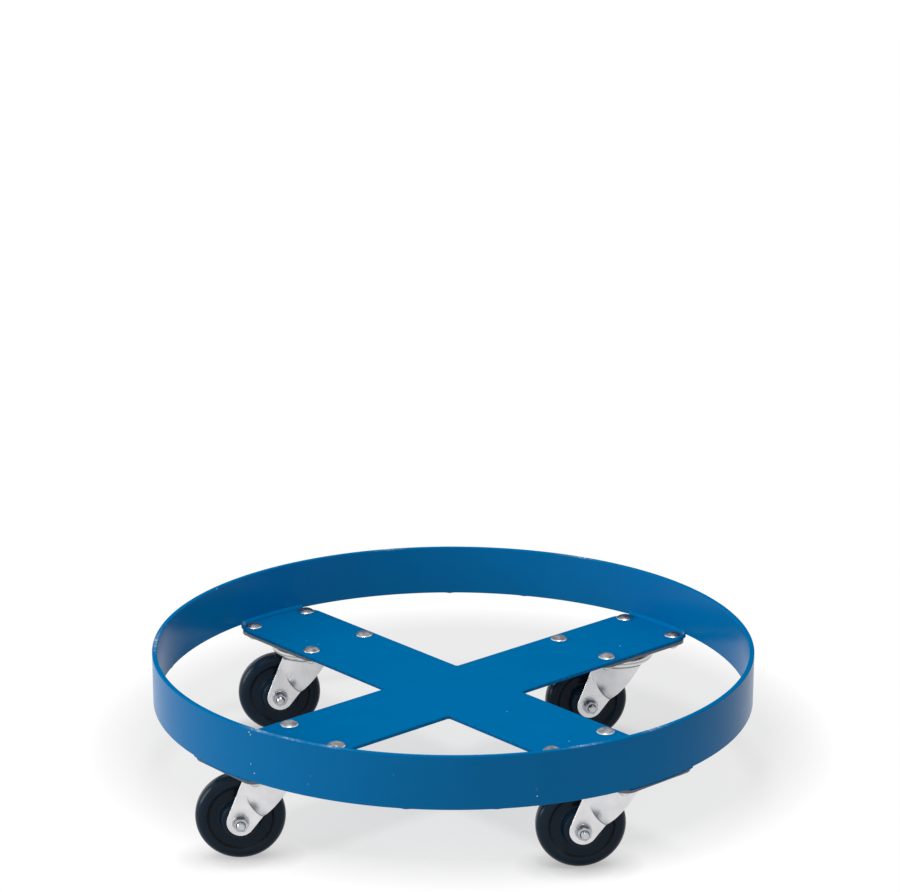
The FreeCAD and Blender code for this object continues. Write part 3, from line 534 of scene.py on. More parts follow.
class TROLLEY_OT_cross(bpy.types.Operator):
    """Make the flat cross that carries the ring"""

    bl_idname = "trolley.cross"
    bl_label = "Cross"

    def execute(self, context):
        deck = context.scene.trolley_deck
        patch = rounded_slab(cross_outline(deck), CROSS_LOW[2], CROSS_HIGH[2], deck.arm_edge)
        make_piece("cross", [patch], cross_enamel(context), "frame", "cross_plate")
        return {"FINISHED"}


# Welds: length of a crescent, its lag at the toes, and where along the bead its ends taper off
WELD_STEPS, WELD_SECTION = 260, 12
CRESCENT = 0.0024
CRESCENT_LAG = 0.35
WELD_FULL = 0.97
WELD_SWELL, WELD_UNEVEN, WELD_UNEVEN_WAVE = 0.05, 0.03, 0.17
WELD_SINK = 0.0005
WELD_END_WEAR, WELD_END_FADE = 0.9, 0.04


def weld_patch(deck, middle, seed):
    """Fillet weld bead: a quarter round of radius w about the corner of ring and arm, along the ring.

    A point is w (-cos t, sin t) from the corner in the section at angle a. The radius w swells by a few
    hundredths in crescents that lag at the toes, and shrinks to nothing at both ends.
    """
    bore, floor = deck.ring_radius - deck.ring_wall, CROSS_HIGH[2]
    along = np.linspace(-1.0, 1.0, WELD_STEPS)[:, None]
    swing = np.linspace(0.0, np.pi / 2, WELD_SECTION)
    lag = CRESCENT_LAG * np.cos(2 * swing - np.pi / 2)
    crests = along * deck.weld_reach * bore / CRESCENT + lag
    uneven = hammered(along * np.array([1.0, 0.0, 0.0]), WELD_UNEVEN_WAVE, seed)[:, None]
    tapered = ((np.abs(along) - WELD_FULL) / (1 - WELD_FULL)).clip(0.0)
    taper = np.sqrt(np.clip(1 - tapered**2, 0.0, 1.0))
    swell = WELD_FULL + WELD_SWELL * np.abs(np.sin(np.pi * crests)) + WELD_UNEVEN * uneven
    size = deck.weld_leg * taper * swell
    back = ((0, 0), (0, 1))
    radius = np.pad(bore - size * np.cos(swing), back, constant_values=bore + WELD_SINK)
    height = np.pad(floor + size * np.sin(swing), back, constant_values=floor - WELD_SINK)
    points = carried(radius, middle + deck.weld_reach * along, height)
    columns = WELD_SECTION + 1
    faces = [
        grid_faces(WELD_STEPS, columns, close_rows=False),
        cap_face(0, columns),
        cap_face((WELD_STEPS - 1) * columns, columns),
    ]
    return points, faces, WELD_END_WEAR * hump(np.abs(along), 1.0, WELD_END_FADE)


class TROLLEY_OT_welds(bpy.types.Operator):
    """Make the four painted weld beads inside the ring"""

    bl_idname = "trolley.welds"
    bl_label = "Welds"

    def execute(self, context):
        deck = context.scene.trolley_deck
        patches = [weld_patch(deck, middle, seed) for seed, middle in enumerate(DIAGONALS)]
        make_piece("weld_beads", patches, cross_enamel(context), "frame", "ring_welds")
        return {"FINISHED"}


# Rivets: a head's dome and foot as shares of its radius and how high on its edge it is widest, depth and
# length of the hammer marks, how far off round the heads are, and wear of the upper rims with the painted
# highlight of the lower heads
RIVET_STEPS, DOME_STEPS, DOME_POWER = 64, 18, 2.4
DOME_SHARE, FOOT_SHARE, WIDEST_LEVEL = 0.975, 0.985, 0.7
HAMMER_DEPTH, HAMMER_WAVE = 0.00012, 0.0042
OFF_ROUND, OFF_ROUND_WAVE, OFF_ROUND_SEED = 0.008, 0.016, 50
SEED_STEP = np.array([0.013, 0.007, 0.0])
RIVET_RIM_FADE, LOW_HEAD_HIGHLIGHT = 0.0008, 0.8


def rivet_patch(deck, sheet, seed):
    """Rivet: a turned profile from the crest of the upper head through the shank to the lower crest.

    A head is an upright edge, then a dome of height h (1 - (r / R)^2.4). Hammer marks move the domes along
    the axis by a few hundredths of a millimetre, and the heads sit a little off round.
    """
    dome = np.linspace(0.0, 1.0, DOME_STEPS)
    low, high = PLATE_HIGH[2] - sheet, CROSS_HIGH[2]
    profile = []
    for base, way, radius, rise in (
        (high, 1.0, deck.rivet_top, deck.rivet_top_rise),
        (low, -1.0, deck.rivet_low, deck.rivet_low_rise),
    ):
        crown = base + way * (deck.rivet_edge + (rise - deck.rivet_edge) * (1 - dome**DOME_POWER))
        widest = (radius, base + way * WIDEST_LEVEL * deck.rivet_edge)
        foot = [widest, (FOOT_SHARE * radius, base), (deck.rivet_shank, base)]
        side = np.concatenate([np.stack([DOME_SHARE * radius * dome, crown], -1), foot])
        profile.append(side if way > 0 else side[::-1])
    profile = np.concatenate(profile)
    points = carried(profile[:, 0], circle(RIVET_STEPS), profile[:, 1])
    past_sheets = np.abs(points[..., 2] - (low + high) / 2) - (high - low) / 2
    on_head = np.clip(past_sheets / deck.rivet_edge, 0.0, 1.0)
    offset = seed * SEED_STEP
    points[..., 2] += HAMMER_DEPTH * on_head * hammered(points + offset, HAMMER_WAVE, seed)
    out_of_round = hammered(points + offset, OFF_ROUND_WAVE, seed + OFF_ROUND_SEED)
    points[..., :2] *= 1 + OFF_ROUND * out_of_round[..., None]
    rim = hump(profile[:, 0], deck.rivet_top, RIVET_RIM_FADE)
    # The lower heads are rubbed bright all over, a painted highlight; the upper heads wear at the rim
    return between_poles(points, np.where(profile[:, 1] < low, LOW_HEAD_HIGHLIGHT, rim))


class TROLLEY_OT_rivets(bpy.types.Operator):
    """Make the four rivets of each castor"""

    bl_idname = "trolley.rivets"
    bl_label = "Rivets"

    def execute(self, context):
        deck, sheet = context.scene.trolley_deck, context.scene.trolley_castor.plate_sheet
        sides = np.array([(1, 1, 0), (1, -1, 0), (-1, 1, 0), (-1, -1, 0)]) / 2
        places = sides * (deck.rivet_pitch_long, deck.rivet_pitch_wide, 0.0)
        finish = rivet_zinc(context)
        for number, corner in enumerate(CORNERS):
            rivets = []
            for seed, spot in enumerate(places, len(places) * number):
                points, faces, wear = rivet_patch(deck, sheet, seed)
                rivets.append((points + spot, faces, wear))
            parts = on_arm(rivets, corner)
            make_piece(f"{corner}_rivet_heads", parts, finish, "frame", f"{corner}_rivets")
        return {"FINISHED"}


# Castor plate: bevel of its edge, rows of the race and of the flat outside, and where the flat's rows start
PLATE_STEPS = 360
PLATE_EDGE = 0.0005
RACE_STEPS, FAN_STEPS = 7, 8
FAN_START = 0.12
# Painted shade on the plate's rim, so its edge reads as shadow under the arm
PLATE_RIM_SHADE = 0.9
TINY = 1e-9


def plate_reach(around, castor):
    """Distance from the middle to the edge of a rectangle with rounded corners, at each angle.

    A ray meets the long side at half width / |sin a| or the short side at half length / |cos a|, or, where
    that point lies past the flats, the corner's circle.
    """
    across, up = np.abs(np.cos(around)), np.abs(np.sin(around))
    flat = np.minimum(
        castor.plate_half_long / np.maximum(across, TINY), castor.plate_half_wide / np.maximum(up, TINY)
    )
    centre_x = castor.plate_half_long - castor.plate_corner
    centre_y = castor.plate_half_wide - castor.plate_corner
    towards = centre_x * across + centre_y * up
    inside = np.maximum(towards**2 - centre_x**2 - centre_y**2 + castor.plate_corner**2, 0.0)
    in_corner = (flat * across > centre_x) & (flat * up > centre_y)
    return np.where(in_corner, towards + np.sqrt(inside), flat)


def plate_patch(castor):
    """Top plate with its pressed race: rows of (radius, height) carried round, from round to square.

    Row k lies at circle_k + square_k times the plate's reach, so that the race rows are round and the rows
    outside it run out evenly to the rounded rectangle.
    """
    top, low = PLATE_HIGH[2], PLATE_HIGH[2] - castor.plate_sheet
    foot = castor.race_radius - castor.race_press
    race, race_top = low - castor.race_press, top - castor.race_press
    lift = castor.plate_sheet * UP
    swing = np.linspace(0.0, np.pi, RACE_STEPS)
    bend = (1 - np.cos(swing)) / 2
    slope_out = foot + castor.race_press * swing / np.pi
    slope = np.stack([slope_out, 0 * swing, race + castor.race_press * bend], -1)
    out = np.linspace(FAN_START, 1.0, FAN_STEPS)[:, None]
    fan = np.concatenate([(1 - out) * castor.race_radius, out, 0 * out + low], -1)
    fan[-1] += (-PLATE_EDGE, 0.0, 0.0)
    rim = np.array([(0.0, 1.0, low + PLATE_EDGE), (0.0, 1.0, top - PLATE_EDGE)])
    middle, middle_top = [(0.0, 0.0, race)], [(0.0, 0.0, race_top)]
    rows = np.concatenate([middle, slope, fan, rim, fan[::-1] + lift, slope[::-1] + lift, middle_top])
    around = circle(PLATE_STEPS)
    points = carried(rows[:, 0] + rows[:, 1] * plate_reach(around, castor), around, rows[:, 2])
    # The rim rows get painted shade, wear below nought
    return between_poles(points, np.where(rows[:, 1] >= 1.0, -PLATE_RIM_SHADE, 0.0))


class TROLLEY_OT_plates(bpy.types.Operator):
    """Make the castors' top plates with their pressed ball race"""

    bl_idname = "trolley.plates"
    bl_label = "Castor plates"

    def execute(self, context):
        plate = plate_patch(context.scene.trolley_castor)
        finish = zinc_sheet(context)
        for corner in CORNERS:
            parts = on_arm([plate], corner)
            make_piece(f"{corner}_castor_plate", parts, finish, "frame", f"{corner}_top_plate")
        return {"FINISHED"}


# Fork: (x, z) of two small dimples in a leg, how a leg's rows and columns crowd to its edges, where wear and
# painted shade fade, and the rounds of the crown's section
DIMPLES = ((-0.0316, 0.0799), (-0.0312, 0.0769))
DIMPLE_DEPTH, DIMPLE_RADIUS = 0.00045, 0.0009
LEG_ROWS, LEG_COLUMNS = 150, 110
ROW_CROWDING, COLUMN_CROWDING = 1.5, 0.4
LEG_OVERLAP = 0.0004
LEG_EDGE_FADE = 0.0006
CURVE_SHARE = 0.999
CREASE_WIDTH, CREASE_CUT = 0.0007, 2.5
UNDER_CROWN = 0.0009
FORK_SHADE = 0.9
CROWN_STEPS = 160
CROWN_SPACING = 0.0008
STEP_ROUND, LIP_ROUND, BOWL_ROUND, HOLE_ROUND = 0.001, 0.0009, 0.003, 0.0003


def tip_touch(start, side, tip):
    """Point where a line from start touches the round tip, on its front (side 1) or back (side -1)."""
    x, y = start[0] + TRAIL, start[1] - AXLE_HEIGHT
    swing = math.atan2(y, x) - side * math.acos(tip / math.hypot(x, y))
    return -TRAIL + tip * math.cos(swing), AXLE_HEIGHT + tip * math.sin(swing)


def leg_side(height, start, side, tip):
    """X of a leg's edge at each height: straight from the crown to the tip's touching point, then round."""
    touch = tip_touch(start, side, tip)
    line = start[0] + (touch[0] - start[0]) * (start[1] - height) / (start[1] - touch[1])
    return np.where(height >= touch[1], line, -TRAIL + side * half_round(tip, height - AXLE_HEIGHT))


def horn_reach(height, castor):
    """Radius of the fork's shoulders: upright under the crown, then an arc that runs in to the legs."""
    knee = FORK_HIGH[2] - castor.rim_rise - castor.horn_straight
    drop = np.clip(knee - height, 0.0, CURVE_SHARE * castor.horn_curve)
    return castor.horn_radius - castor.horn_curve + half_round(castor.horn_curve, drop)


def leg_patch(castor, side):
    """Leg of the fork: its outer and inner faces over a grid of height and reach from back to front edge.

    The outer face lies at the larger of the leg's flat and the round shoulder sqrt(r(z)^2 - x^2), blended
    more softly towards the crown, and the inner face follows one sheet inside. The cut edges are rounded and
    rubbed, and wear is below nought for painted shade in the crease and under the crown.
    """
    crown = FORK_HIGH[2] - castor.rim_rise
    bottom = AXLE_HEIGHT - castor.leg_tip
    down = np.linspace(1.0, 0.0, LEG_ROWS)[:, None] ** ROW_CROWDING
    level = bottom + (crown + LEG_OVERLAP - bottom) * down
    x_back = leg_side(level, (-castor.leg_back, crown), -1, castor.leg_tip)
    x_front = leg_side(level, (castor.leg_front, crown), 1, castor.leg_tip)
    even = np.linspace(0.0, 1.0, LEG_COLUMNS)
    crowded = (1 - np.cos(np.pi * even)) / 2
    x = x_back + (x_front - x_back) * ((1 - COLUMN_CROWDING) * even + COLUMN_CROWDING * crowded)
    from_edge = np.minimum(x - x_back, x_front - x)
    short = castor.leg_edge - np.minimum(from_edge, castor.leg_edge)
    rounding = castor.leg_edge - half_round(castor.leg_edge, short)
    reach, flat = horn_reach(level, castor), castor.leg_inside + castor.sheet
    shoulder = half_round(reach, x)
    fading = np.clip((level - castor.crease_top) / (crown - castor.crease_top), 0.0, 1.0)
    blend = castor.horn_blend + castor.crease_soft * fading
    outer = smooth_max(flat, shoulder, blend) - rounding
    inner = smooth_max(castor.leg_inside, half_round(reach - castor.sheet, x), blend) + rounding
    for dimple_x, dimple_z in DIMPLES:
        outer -= DIMPLE_DEPTH * hump(np.hypot(x - dimple_x, level - dimple_z), 0.0, DIMPLE_RADIUS)
    loop_x = np.concatenate([x, x[:, ::-1]], 1)
    loop_y = side * np.concatenate([outer, inner[:, ::-1]], 1)
    points = np.stack([loop_x, loop_y, np.broadcast_to(level, loop_x.shape)], -1)
    wear = np.exp(-np.concatenate([from_edge, from_edge], 1) / LEG_EDGE_FADE)
    crease = hump(shoulder, flat, CREASE_WIDTH) * np.clip(1 - CREASE_CUT * fading, 0.0, 1.0)
    # Painted shade: darker along the crease between shoulder and leg, and in a line under the crown
    wear[:, :LEG_COLUMNS] -= FORK_SHADE * np.maximum(crease, hump(level, crown, UNDER_CROWN))
    columns = 2 * LEG_COLUMNS
    return points, [grid_faces(LEG_ROWS, columns, close_rows=False), cap_face(0, columns)], wear


def crown_patch(castor):
    """Crown of the fork: the section of a shallow bowl with a raised middle, carried round the swivel axis.

    The rim is rubbed bright at its top. Low on its bowl it has a painted highlight, below the top a dark band
    of painted reflection, and under the bowl painted shade.
    """
    low = FORK_HIGH[2] - castor.rim_rise
    top, rim_top = low + castor.sheet, FORK_HIGH[2]
    middle_low, middle_top = low + castor.crown_step, low + castor.crown_step + castor.sheet
    step_out, rim_inside = castor.step_radius + castor.step_run, castor.rim_radius - castor.sheet
    corners = np.array([
        (step_out, low, STEP_ROUND),
        (castor.rim_radius, low, castor.rim_round),
        (castor.rim_radius, rim_top, LIP_ROUND),
        (rim_inside, rim_top, LIP_ROUND),
        (rim_inside, top, BOWL_ROUND),
        (step_out + castor.sheet / 2, top, STEP_ROUND),
        (castor.step_radius + castor.sheet / 2, middle_top, STEP_ROUND),
        (castor.crown_hole, middle_top, HOLE_ROUND),
        (castor.crown_hole, middle_low, HOLE_ROUND),
        (castor.step_radius, middle_low, STEP_ROUND),
    ])
    section = add_stations(round_corners(corners[:, :2], corners[:, 2], 10), CROWN_SPACING)
    # Rows of (amount, height, width, radius outside which it counts)
    wear = sum(
        amount * hump(section[:, 1], level, width) * (section[:, 0] > inside)
        for amount, level, width, inside in (
            (0.8, rim_top, 0.0008, castor.horn_radius),
            # Painted highlight low on the bowl
            (0.9, low + 0.0024, 0.0016, castor.rim_radius - castor.rim_round),
            # Dark band of painted reflection below the rim's top
            (-0.6, rim_top - 0.0026, 0.0009, castor.rim_radius - 0.0008),
            # Painted shade under the bowl, where it meets the shoulders
            (-FORK_SHADE, low, 0.0005, castor.horn_radius - 0.001),
        )
    )
    return turned(section, CROWN_STEPS, wear)


class TROLLEY_OT_forks(bpy.types.Operator):
    """Make the pressed forks of the castors"""

    bl_idname = "trolley.forks"
    bl_label = "Forks"

    def execute(self, context):
        castor = context.scene.trolley_castor
        fork = [crown_patch(castor), leg_patch(castor, -1), leg_patch(castor, 1)]
        finish = zinc_sheet(context)
        for corner in CORNERS:
            parts = on_castor(fork, corner)
            make_piece(f"{corner}_pressed_fork", parts, finish, f"{corner}_swivel", f"{corner}_fork")
        return {"FINISHED"}


# Axle: turn of each castor's nut in degrees, and of the bolt head against it in radians
HEX_TURNS = {"front_left": 30.0, "front_right": 8.0, "rear_left": 52.0, "rear_right": 17.0}
HEAD_TURN = 0.3
HEX_STEPS, HEX_POWER = 120, 90
# Rows up a flat and in across the face, as shares of them, and steps over the chamfer
HEX_FLAT, HEX_FACE, CHAMFER_STEPS = np.linspace(0.25, 1.0, 6), np.linspace(0.93, 0.0, 5), 10
# Painted shade on the flats that face up and dirt round the bore: how much, the sine from which a flat faces
# up, how soon the shade sets in, and the dirt's reach round the bore in bevels
HEX_SHADE_AND_DIRT, FACING_UP, FACING_FADE, BORE_DIRT = 0.85, 0.75, 0.12, 1.2
NUT_BEVEL = 0.0006
THREAD_ROWS, THREAD_STEPS = 220, 72
THREAD_DEPTH, THREAD_CHAMFER = 0.0007, 0.0008
# Share of the bolt at which the thread starts, share over which it deepens, and wear of its end
THREAD_START, THREAD_FADE, THREAD_END_WEAR = 0.5, 0.125, 0.5
WASHER_STEPS, WASHER_ROUNDS = 96, (0.0001, 0.0002, 0.0005, 0.0003)
WASHER_ROOM = 0.0002
FASTENER_SHARP = 28.0


def hex_reach(around, half):
    """Radius of a hexagon with slightly soft corners, by a high power mean of its six flats' cosines."""
    flats = np.cos(around[..., None] - np.pi / 3 * np.arange(6)).clip(0.0)
    return half / (flats**HEX_POWER).sum(-1) ** (1 / HEX_POWER)


def hex_block(castor, height, bore, bevel, turn):
    """Hexagon with a turned chamfer, along Z from nought: at each height the hexagon or the cone, if less.

    The rows run from the seat up the flats, over the chamfer, in across the face to the bore's bevel. The
    flats that face upwards carry painted shade, and there is dirt round the bore.
    """
    crest, flat_top = castor.hex_half - castor.hex_chamfer / 2, height - castor.hex_chamfer
    flare = castor.hex_half * 2 / math.sqrt(3) + castor.hex_chamfer - crest
    chamfer = np.linspace(flat_top, height, CHAMFER_STEPS)[1:]
    side = np.concatenate([[0.0], HEX_FLAT * flat_top, chamfer])
    around = circle(HEX_STEPS)
    cone = crest + flare * (height - side) / castor.hex_chamfer
    flats = np.minimum(hex_reach(around - turn, castor.hex_half), cone)
    across = HEX_FACE * (crest - bore - bevel) + bore + bevel
    face = np.broadcast_to(across, (HEX_STEPS, len(HEX_FACE)))
    hole = np.full((HEX_STEPS, 1), bore)
    radius = np.concatenate([hole, flats, face, hole], 1)
    levels = np.concatenate([[0.0], side, np.full(len(HEX_FACE), height), [height - bevel]])
    # Painted shade on the flats that face upwards, and dirt round the bore
    upward = np.clip((np.sin(around) - FACING_UP) / FACING_FADE, 0.0, 1.0)
    at_bore = (radius < bore + BORE_DIRT * bevel) & (levels > 0.0)
    shade_and_dirt = np.maximum(upward * (levels < height - castor.hex_chamfer / 2), at_bore)
    return carried(radius, around, levels), [grid_faces(*radius.shape)], -HEX_SHADE_AND_DIRT * shade_and_dirt


def thread_patch(castor, start, finish):
    """Threaded bolt: its radius less the thread's depth times a triangle wave of angle and height.

    The thread starts half way along and the end is chamfered, and the rows close in to the axis.
    """
    level = np.linspace(start, finish, THREAD_ROWS)
    around = circle(THREAD_STEPS)
    turns = (level / castor.thread_pitch + around / (2 * np.pi)) % 1.0
    threaded = np.clip(((level - start) / (finish - start) - THREAD_START) / THREAD_FADE, 0.0, 1.0)
    valley = THREAD_DEPTH * np.abs(2 * turns - 1) * threaded
    end = castor.axle_radius - THREAD_CHAMFER + (finish - level)
    radius = np.pad(np.minimum(castor.axle_radius - valley, end), ((0, 0), (1, 1)))
    level = np.pad(level, 1, mode="edge")
    bright = THREAD_END_WEAR * np.clip((level - finish) / THREAD_CHAMFER + 1, 0.0, 1.0)
    return between_poles(carried(radius, around, level), bright)


def washer_patch(castor):
    """Washer: a flat rounded section carried round the axis, from nought up."""
    bore = castor.axle_radius + WASHER_ROOM
    corners = bar_corners(bore, castor.washer_radius, 0.0, castor.washer_height)
    return turned(round_corners(corners, WASHER_ROUNDS, 5), WASHER_STEPS, 0.0)


class TROLLEY_OT_fasteners(bpy.types.Operator):
    """Make the axle bolts, nuts and washers"""

    bl_idname = "trolley.fasteners"
    bl_label = "Axle fasteners"

    def execute(self, context):
        castor = context.scene.trolley_castor
        leg_face = castor.leg_inside + castor.sheet
        nut_seat = leg_face + castor.washer_height
        thread = thread_patch(castor, -leg_face, nut_seat + castor.nut_height + castor.bolt_end)
        washer = washer_patch(castor)
        finish = bright_fastener(context)
        for corner in CORNERS:
            turn = math.radians(HEX_TURNS[corner])
            nut = hex_block(castor, castor.nut_height, castor.axle_radius, NUT_BEVEL, turn)
            head = hex_block(castor, castor.head_height, 0.0, 0.0, turn + HEAD_TURN)
            for kind, parts in (
                ("nut", [on_axle(nut, nut_seat, -1)]),
                ("bolt", [on_axle(head, leg_face), on_axle(thread, side=-1)]),
                ("washer", [on_axle(washer, leg_face, -1)]),
            ):
                make_piece(
                    f"{corner}_plated_{kind}",
                    on_castor(parts, corner),
                    finish,
                    f"{corner}_swivel",
                    f"{corner}_axle_{kind}",
                    FASTENER_SHARP,
                )
        return {"FINISHED"}


# Wheel: rounds from the bore to the recess mouth, the parting line, and how far dust reaches, with the dust
# on the recess wall that also lifts its shade as painted light
WHEEL_STEPS = 200
WHEEL_SPACING = 0.0015
WHEEL_ROUNDS = (0.0004, 0.0015, 0.003, 0.003, 0.0034)
PARTING_RISE, PARTING_WIDTH, PARTING_HALF, PARTING_ROOM = 0.00008, 0.0003, 0.0006, 0.0001
TREAD_DUST, TREAD_DUST_DEPTH = 0.75, 0.0016
RECESS_DUST_AND_LIGHT, RECESS_DUST_AND_LIGHT_WIDTH = 1.15, 0.0018


def wheel_patch(castor):
    """Moulded wheel: one closed section of rim, web and hub carried round the axle.

    The corners of the section are rounded, the tread most, and a fine parting line stands on the tread.
    """
    tread = castor.wheel_radius - PARTING_RISE
    root, hub_root = castor.rim_mouth - castor.web_draft, castor.hub_radius + castor.web_draft
    half = [
        (castor.hub_bore, -castor.hub_half),
        (castor.hub_radius, -castor.hub_half),
        (hub_root, -castor.web_half),
        (root, -castor.web_half),
        (castor.rim_mouth, -castor.tread_half),
        (tread, -castor.tread_half),
    ]
    corners = half + [(radius, -across) for radius, across in half[::-1]]
    rounds = (*WHEEL_ROUNDS, castor.tread_round)
    section = add_stations(round_corners(corners, rounds + rounds[::-1], 9), WHEEL_SPACING)
    parting = np.linspace(-PARTING_HALF, PARTING_HALF, 7)
    line = np.stack([tread + PARTING_RISE * hump(parting, 0.0, PARTING_WIDTH), parting], -1)
    near = (np.abs(section[:, 1]) < PARTING_HALF + PARTING_ROOM) & (section[:, 0] > castor.rim_mouth)
    first = int(np.argmax(near if near.any() else section[:, 1] > 0.0))
    section = np.concatenate([section[:first], line, section[first:][~near[first:]]])
    worn = TREAD_DUST * np.clip((section[:, 0] - tread) / TREAD_DUST_DEPTH + 1, 0.0, 1.0)
    # Dust on the recess wall, strong enough to lift the recess's shade: partly painted light
    worn += RECESS_DUST_AND_LIGHT * hump(section[:, 0], root + castor.web_draft / 2, RECESS_DUST_AND_LIGHT_WIDTH)
    return turned(section, WHEEL_STEPS, worn)


class TROLLEY_OT_wheels(bpy.types.Operator):
    """Make the black moulded wheels"""

    bl_idname = "trolley.wheels"
    bl_label = "Wheels"

    def execute(self, context):
        wheel = on_axle(wheel_patch(context.scene.trolley_castor))
        finish = black_wheel(context)
        for corner in CORNERS:
            parts = on_castor([wheel], corner)
            make_piece(
                f"{corner}_moulded_wheel", parts, finish, f"{corner}_roller", f"{corner}_wheel"
            )
        return {"FINISHED"}


# Bearings stay as the frame has them and get their finish
BEARING_NODES = ("kingpin", "ball_retainer", "upper_balls", "lower_balls", "axle_sleeve", "wheel_bush")


class TROLLEY_OT_bearings(bpy.types.Operator):
    """Give the balls, kingpins, sleeves and bushes their greased steel"""

    bl_idname = "trolley.bearings"
    bl_label = "Bearings"

    def execute(self, context):
        steel = greased_steel(context)
        for corner in CORNERS:
            for kind in BEARING_NODES:
                for slot in frame["nodes"][f"{corner}_{kind}"].material_slots:
                    slot.material = steel
        return {"FINISHED"}


# Nodes: places of the colour sockets of a Mix node
MIX_FIRST, MIX_SECOND, MIX_RESULT = 6, 7, 2


def feed(tree, node, entries):
    """Give each of a node's inputs a plain value, or a link from (node, output)."""
    for entry, value in entries.items():
        if isinstance(value, tuple) and isinstance(value[0], bpy.types.Node):
            tree.links.new(value[0].outputs[value[1]], node.inputs[entry])
        else:
            node.inputs[entry].default_value = value


def place(tree, kind, spot, entries=None, **settings):
    """New node at a spot on the sheet, with its settings and its inputs fed."""
    node = tree.nodes.new(kind)
    node.location = spot
    for name, value in settings.items():
        setattr(node, name, value)
    feed(tree, node, entries or {})
    return node


def maths(tree, spot, operation, *terms, **settings):
    """Math node of two or three terms."""
    return place(tree, "ShaderNodeMath", spot, dict(enumerate(terms)), operation=operation, **settings)


def spread(tree, spot, source, low, high, from_low=0.3, from_high=0.7):
    """Map of a value onto a range, by default of a noise about a half."""
    ends = {"From Min": from_low, "From Max": from_high, "To Min": low, "To Max": high}
    return place(tree, "ShaderNodeMapRange", spot, {"Value": source, **ends})


def mix_colours(tree, spot, first, second, mask):
    """Mix of a linear colour, or of another mix, with a second colour by a mask."""
    start = (first, MIX_RESULT) if isinstance(first, bpy.types.Node) else (*first, 1.0)
    entries = {"Factor": mask, MIX_FIRST: start, MIX_SECOND: (*second, 1.0)}
    return place(tree, "ShaderNodeMix", spot, entries, data_type="RGBA")


def use_group(tree, group, spot, entries):
    """Node group with its own values."""
    return place(tree, "ShaderNodeGroup", spot, entries, node_tree=group)


def group_sheet(name, inputs, outputs):
    """Empty node group with number sockets, and its two end nodes."""
    tree = bpy.data.node_groups.new(name, "ShaderNodeTree")
    for socket, default in inputs.items():
        entry = tree.interface.new_socket(socket, in_out="INPUT", socket_type="NodeSocketFloat")
        entry.default_value = default
    for socket in outputs:
        tree.interface.new_socket(socket, in_out="OUTPUT", socket_type="NodeSocketFloat")
    return tree, place(tree, "NodeGroupInput", (-900, 0)), place(tree, "NodeGroupOutput", (600, 0))


def noise(tree, spot, where, scale, detail, roughness):
    """Noise texture on Object coordinates."""
    entries = {"Vector": (where, "Object"), "Scale": scale, "Detail": detail, "Roughness": roughness}
    return place(tree, "ShaderNodeTexNoise", spot, entries)


# Node groups: scale of broad patches against fine grain, width of a chip's edge and of a rub's, and the scale
# of the noise that lets specks through with the level it has to pass
PATCH_SCALE = 1 / 40
CHIP_EDGE, RUB_EDGE = 0.05, 0.35
SPARSE_SCALE, SPARSE_LEVEL = 38.0, 0.65


def surface_grain():
    """Group: fine grain at Scale per metre, and broad patches at a fortieth of it, both about a half."""
    if tree := bpy.data.node_groups.get("Surface grain"):
        return tree
    tree, start, end = group_sheet("Surface grain", {"Scale": 900.0}, ["Grain", "Patches"])
    where = place(tree, "ShaderNodeTexCoord", (-900, -200))
    wide = maths(tree, (-600, -250), "MULTIPLY", (start, "Scale"), PATCH_SCALE)
    fine = noise(tree, (-300, 100), where, (start, "Scale"), 3.0, 0.6)
    broad = noise(tree, (-300, -200), where, (wide, 0), 4.0, 0.55)
    feed(tree, end, {"Grain": (fine, "Fac"), "Patches": (broad, "Fac")})
    return tree


def edge_wear():
    """Group: chips and rub where a surface's wear passes a ragged noise at Scale per metre, and painted shade
    with dirt.

    Painted shade and dirt lie where the wear is below nought.
    """
    if tree := bpy.data.node_groups.get("Edge wear"):
        return tree
    tree, start, end = group_sheet("Edge wear", {"Scale": 260.0, "Amount": 0.5}, ["Chips", "Rub", "Dirt"])
    where = place(tree, "ShaderNodeTexCoord", (-900, -250))
    worn = place(tree, "ShaderNodeAttribute", (-900, 250), attribute_name="wear")
    ragged = noise(tree, (-600, -200), where, (start, "Scale"), 6.0, 0.68)
    more = maths(tree, (-350, 150), "MULTIPLY", (worn, "Fac"), (start, "Amount"))
    less = maths(tree, (-100, 100), "SUBTRACT", (more, 0), (ragged, "Fac"))
    crisp = spread(tree, (150, 150), (less, 0), 0.0, 1.0, 0.0, CHIP_EDGE)
    soft = spread(tree, (150, -150), (less, 0), 0.0, 1.0, -RUB_EDGE, RUB_EDGE)
    rub = maths(tree, (380, -150), "MULTIPLY", (soft, 0), (worn, "Fac"))
    shade_and_dirt = maths(tree, (380, 350), "MULTIPLY", (worn, "Fac"), -1.0, use_clamp=True)
    feed(tree, end, {"Chips": (crisp, 0), "Rub": (rub, 0), "Dirt": (shade_and_dirt, 0)})
    return tree


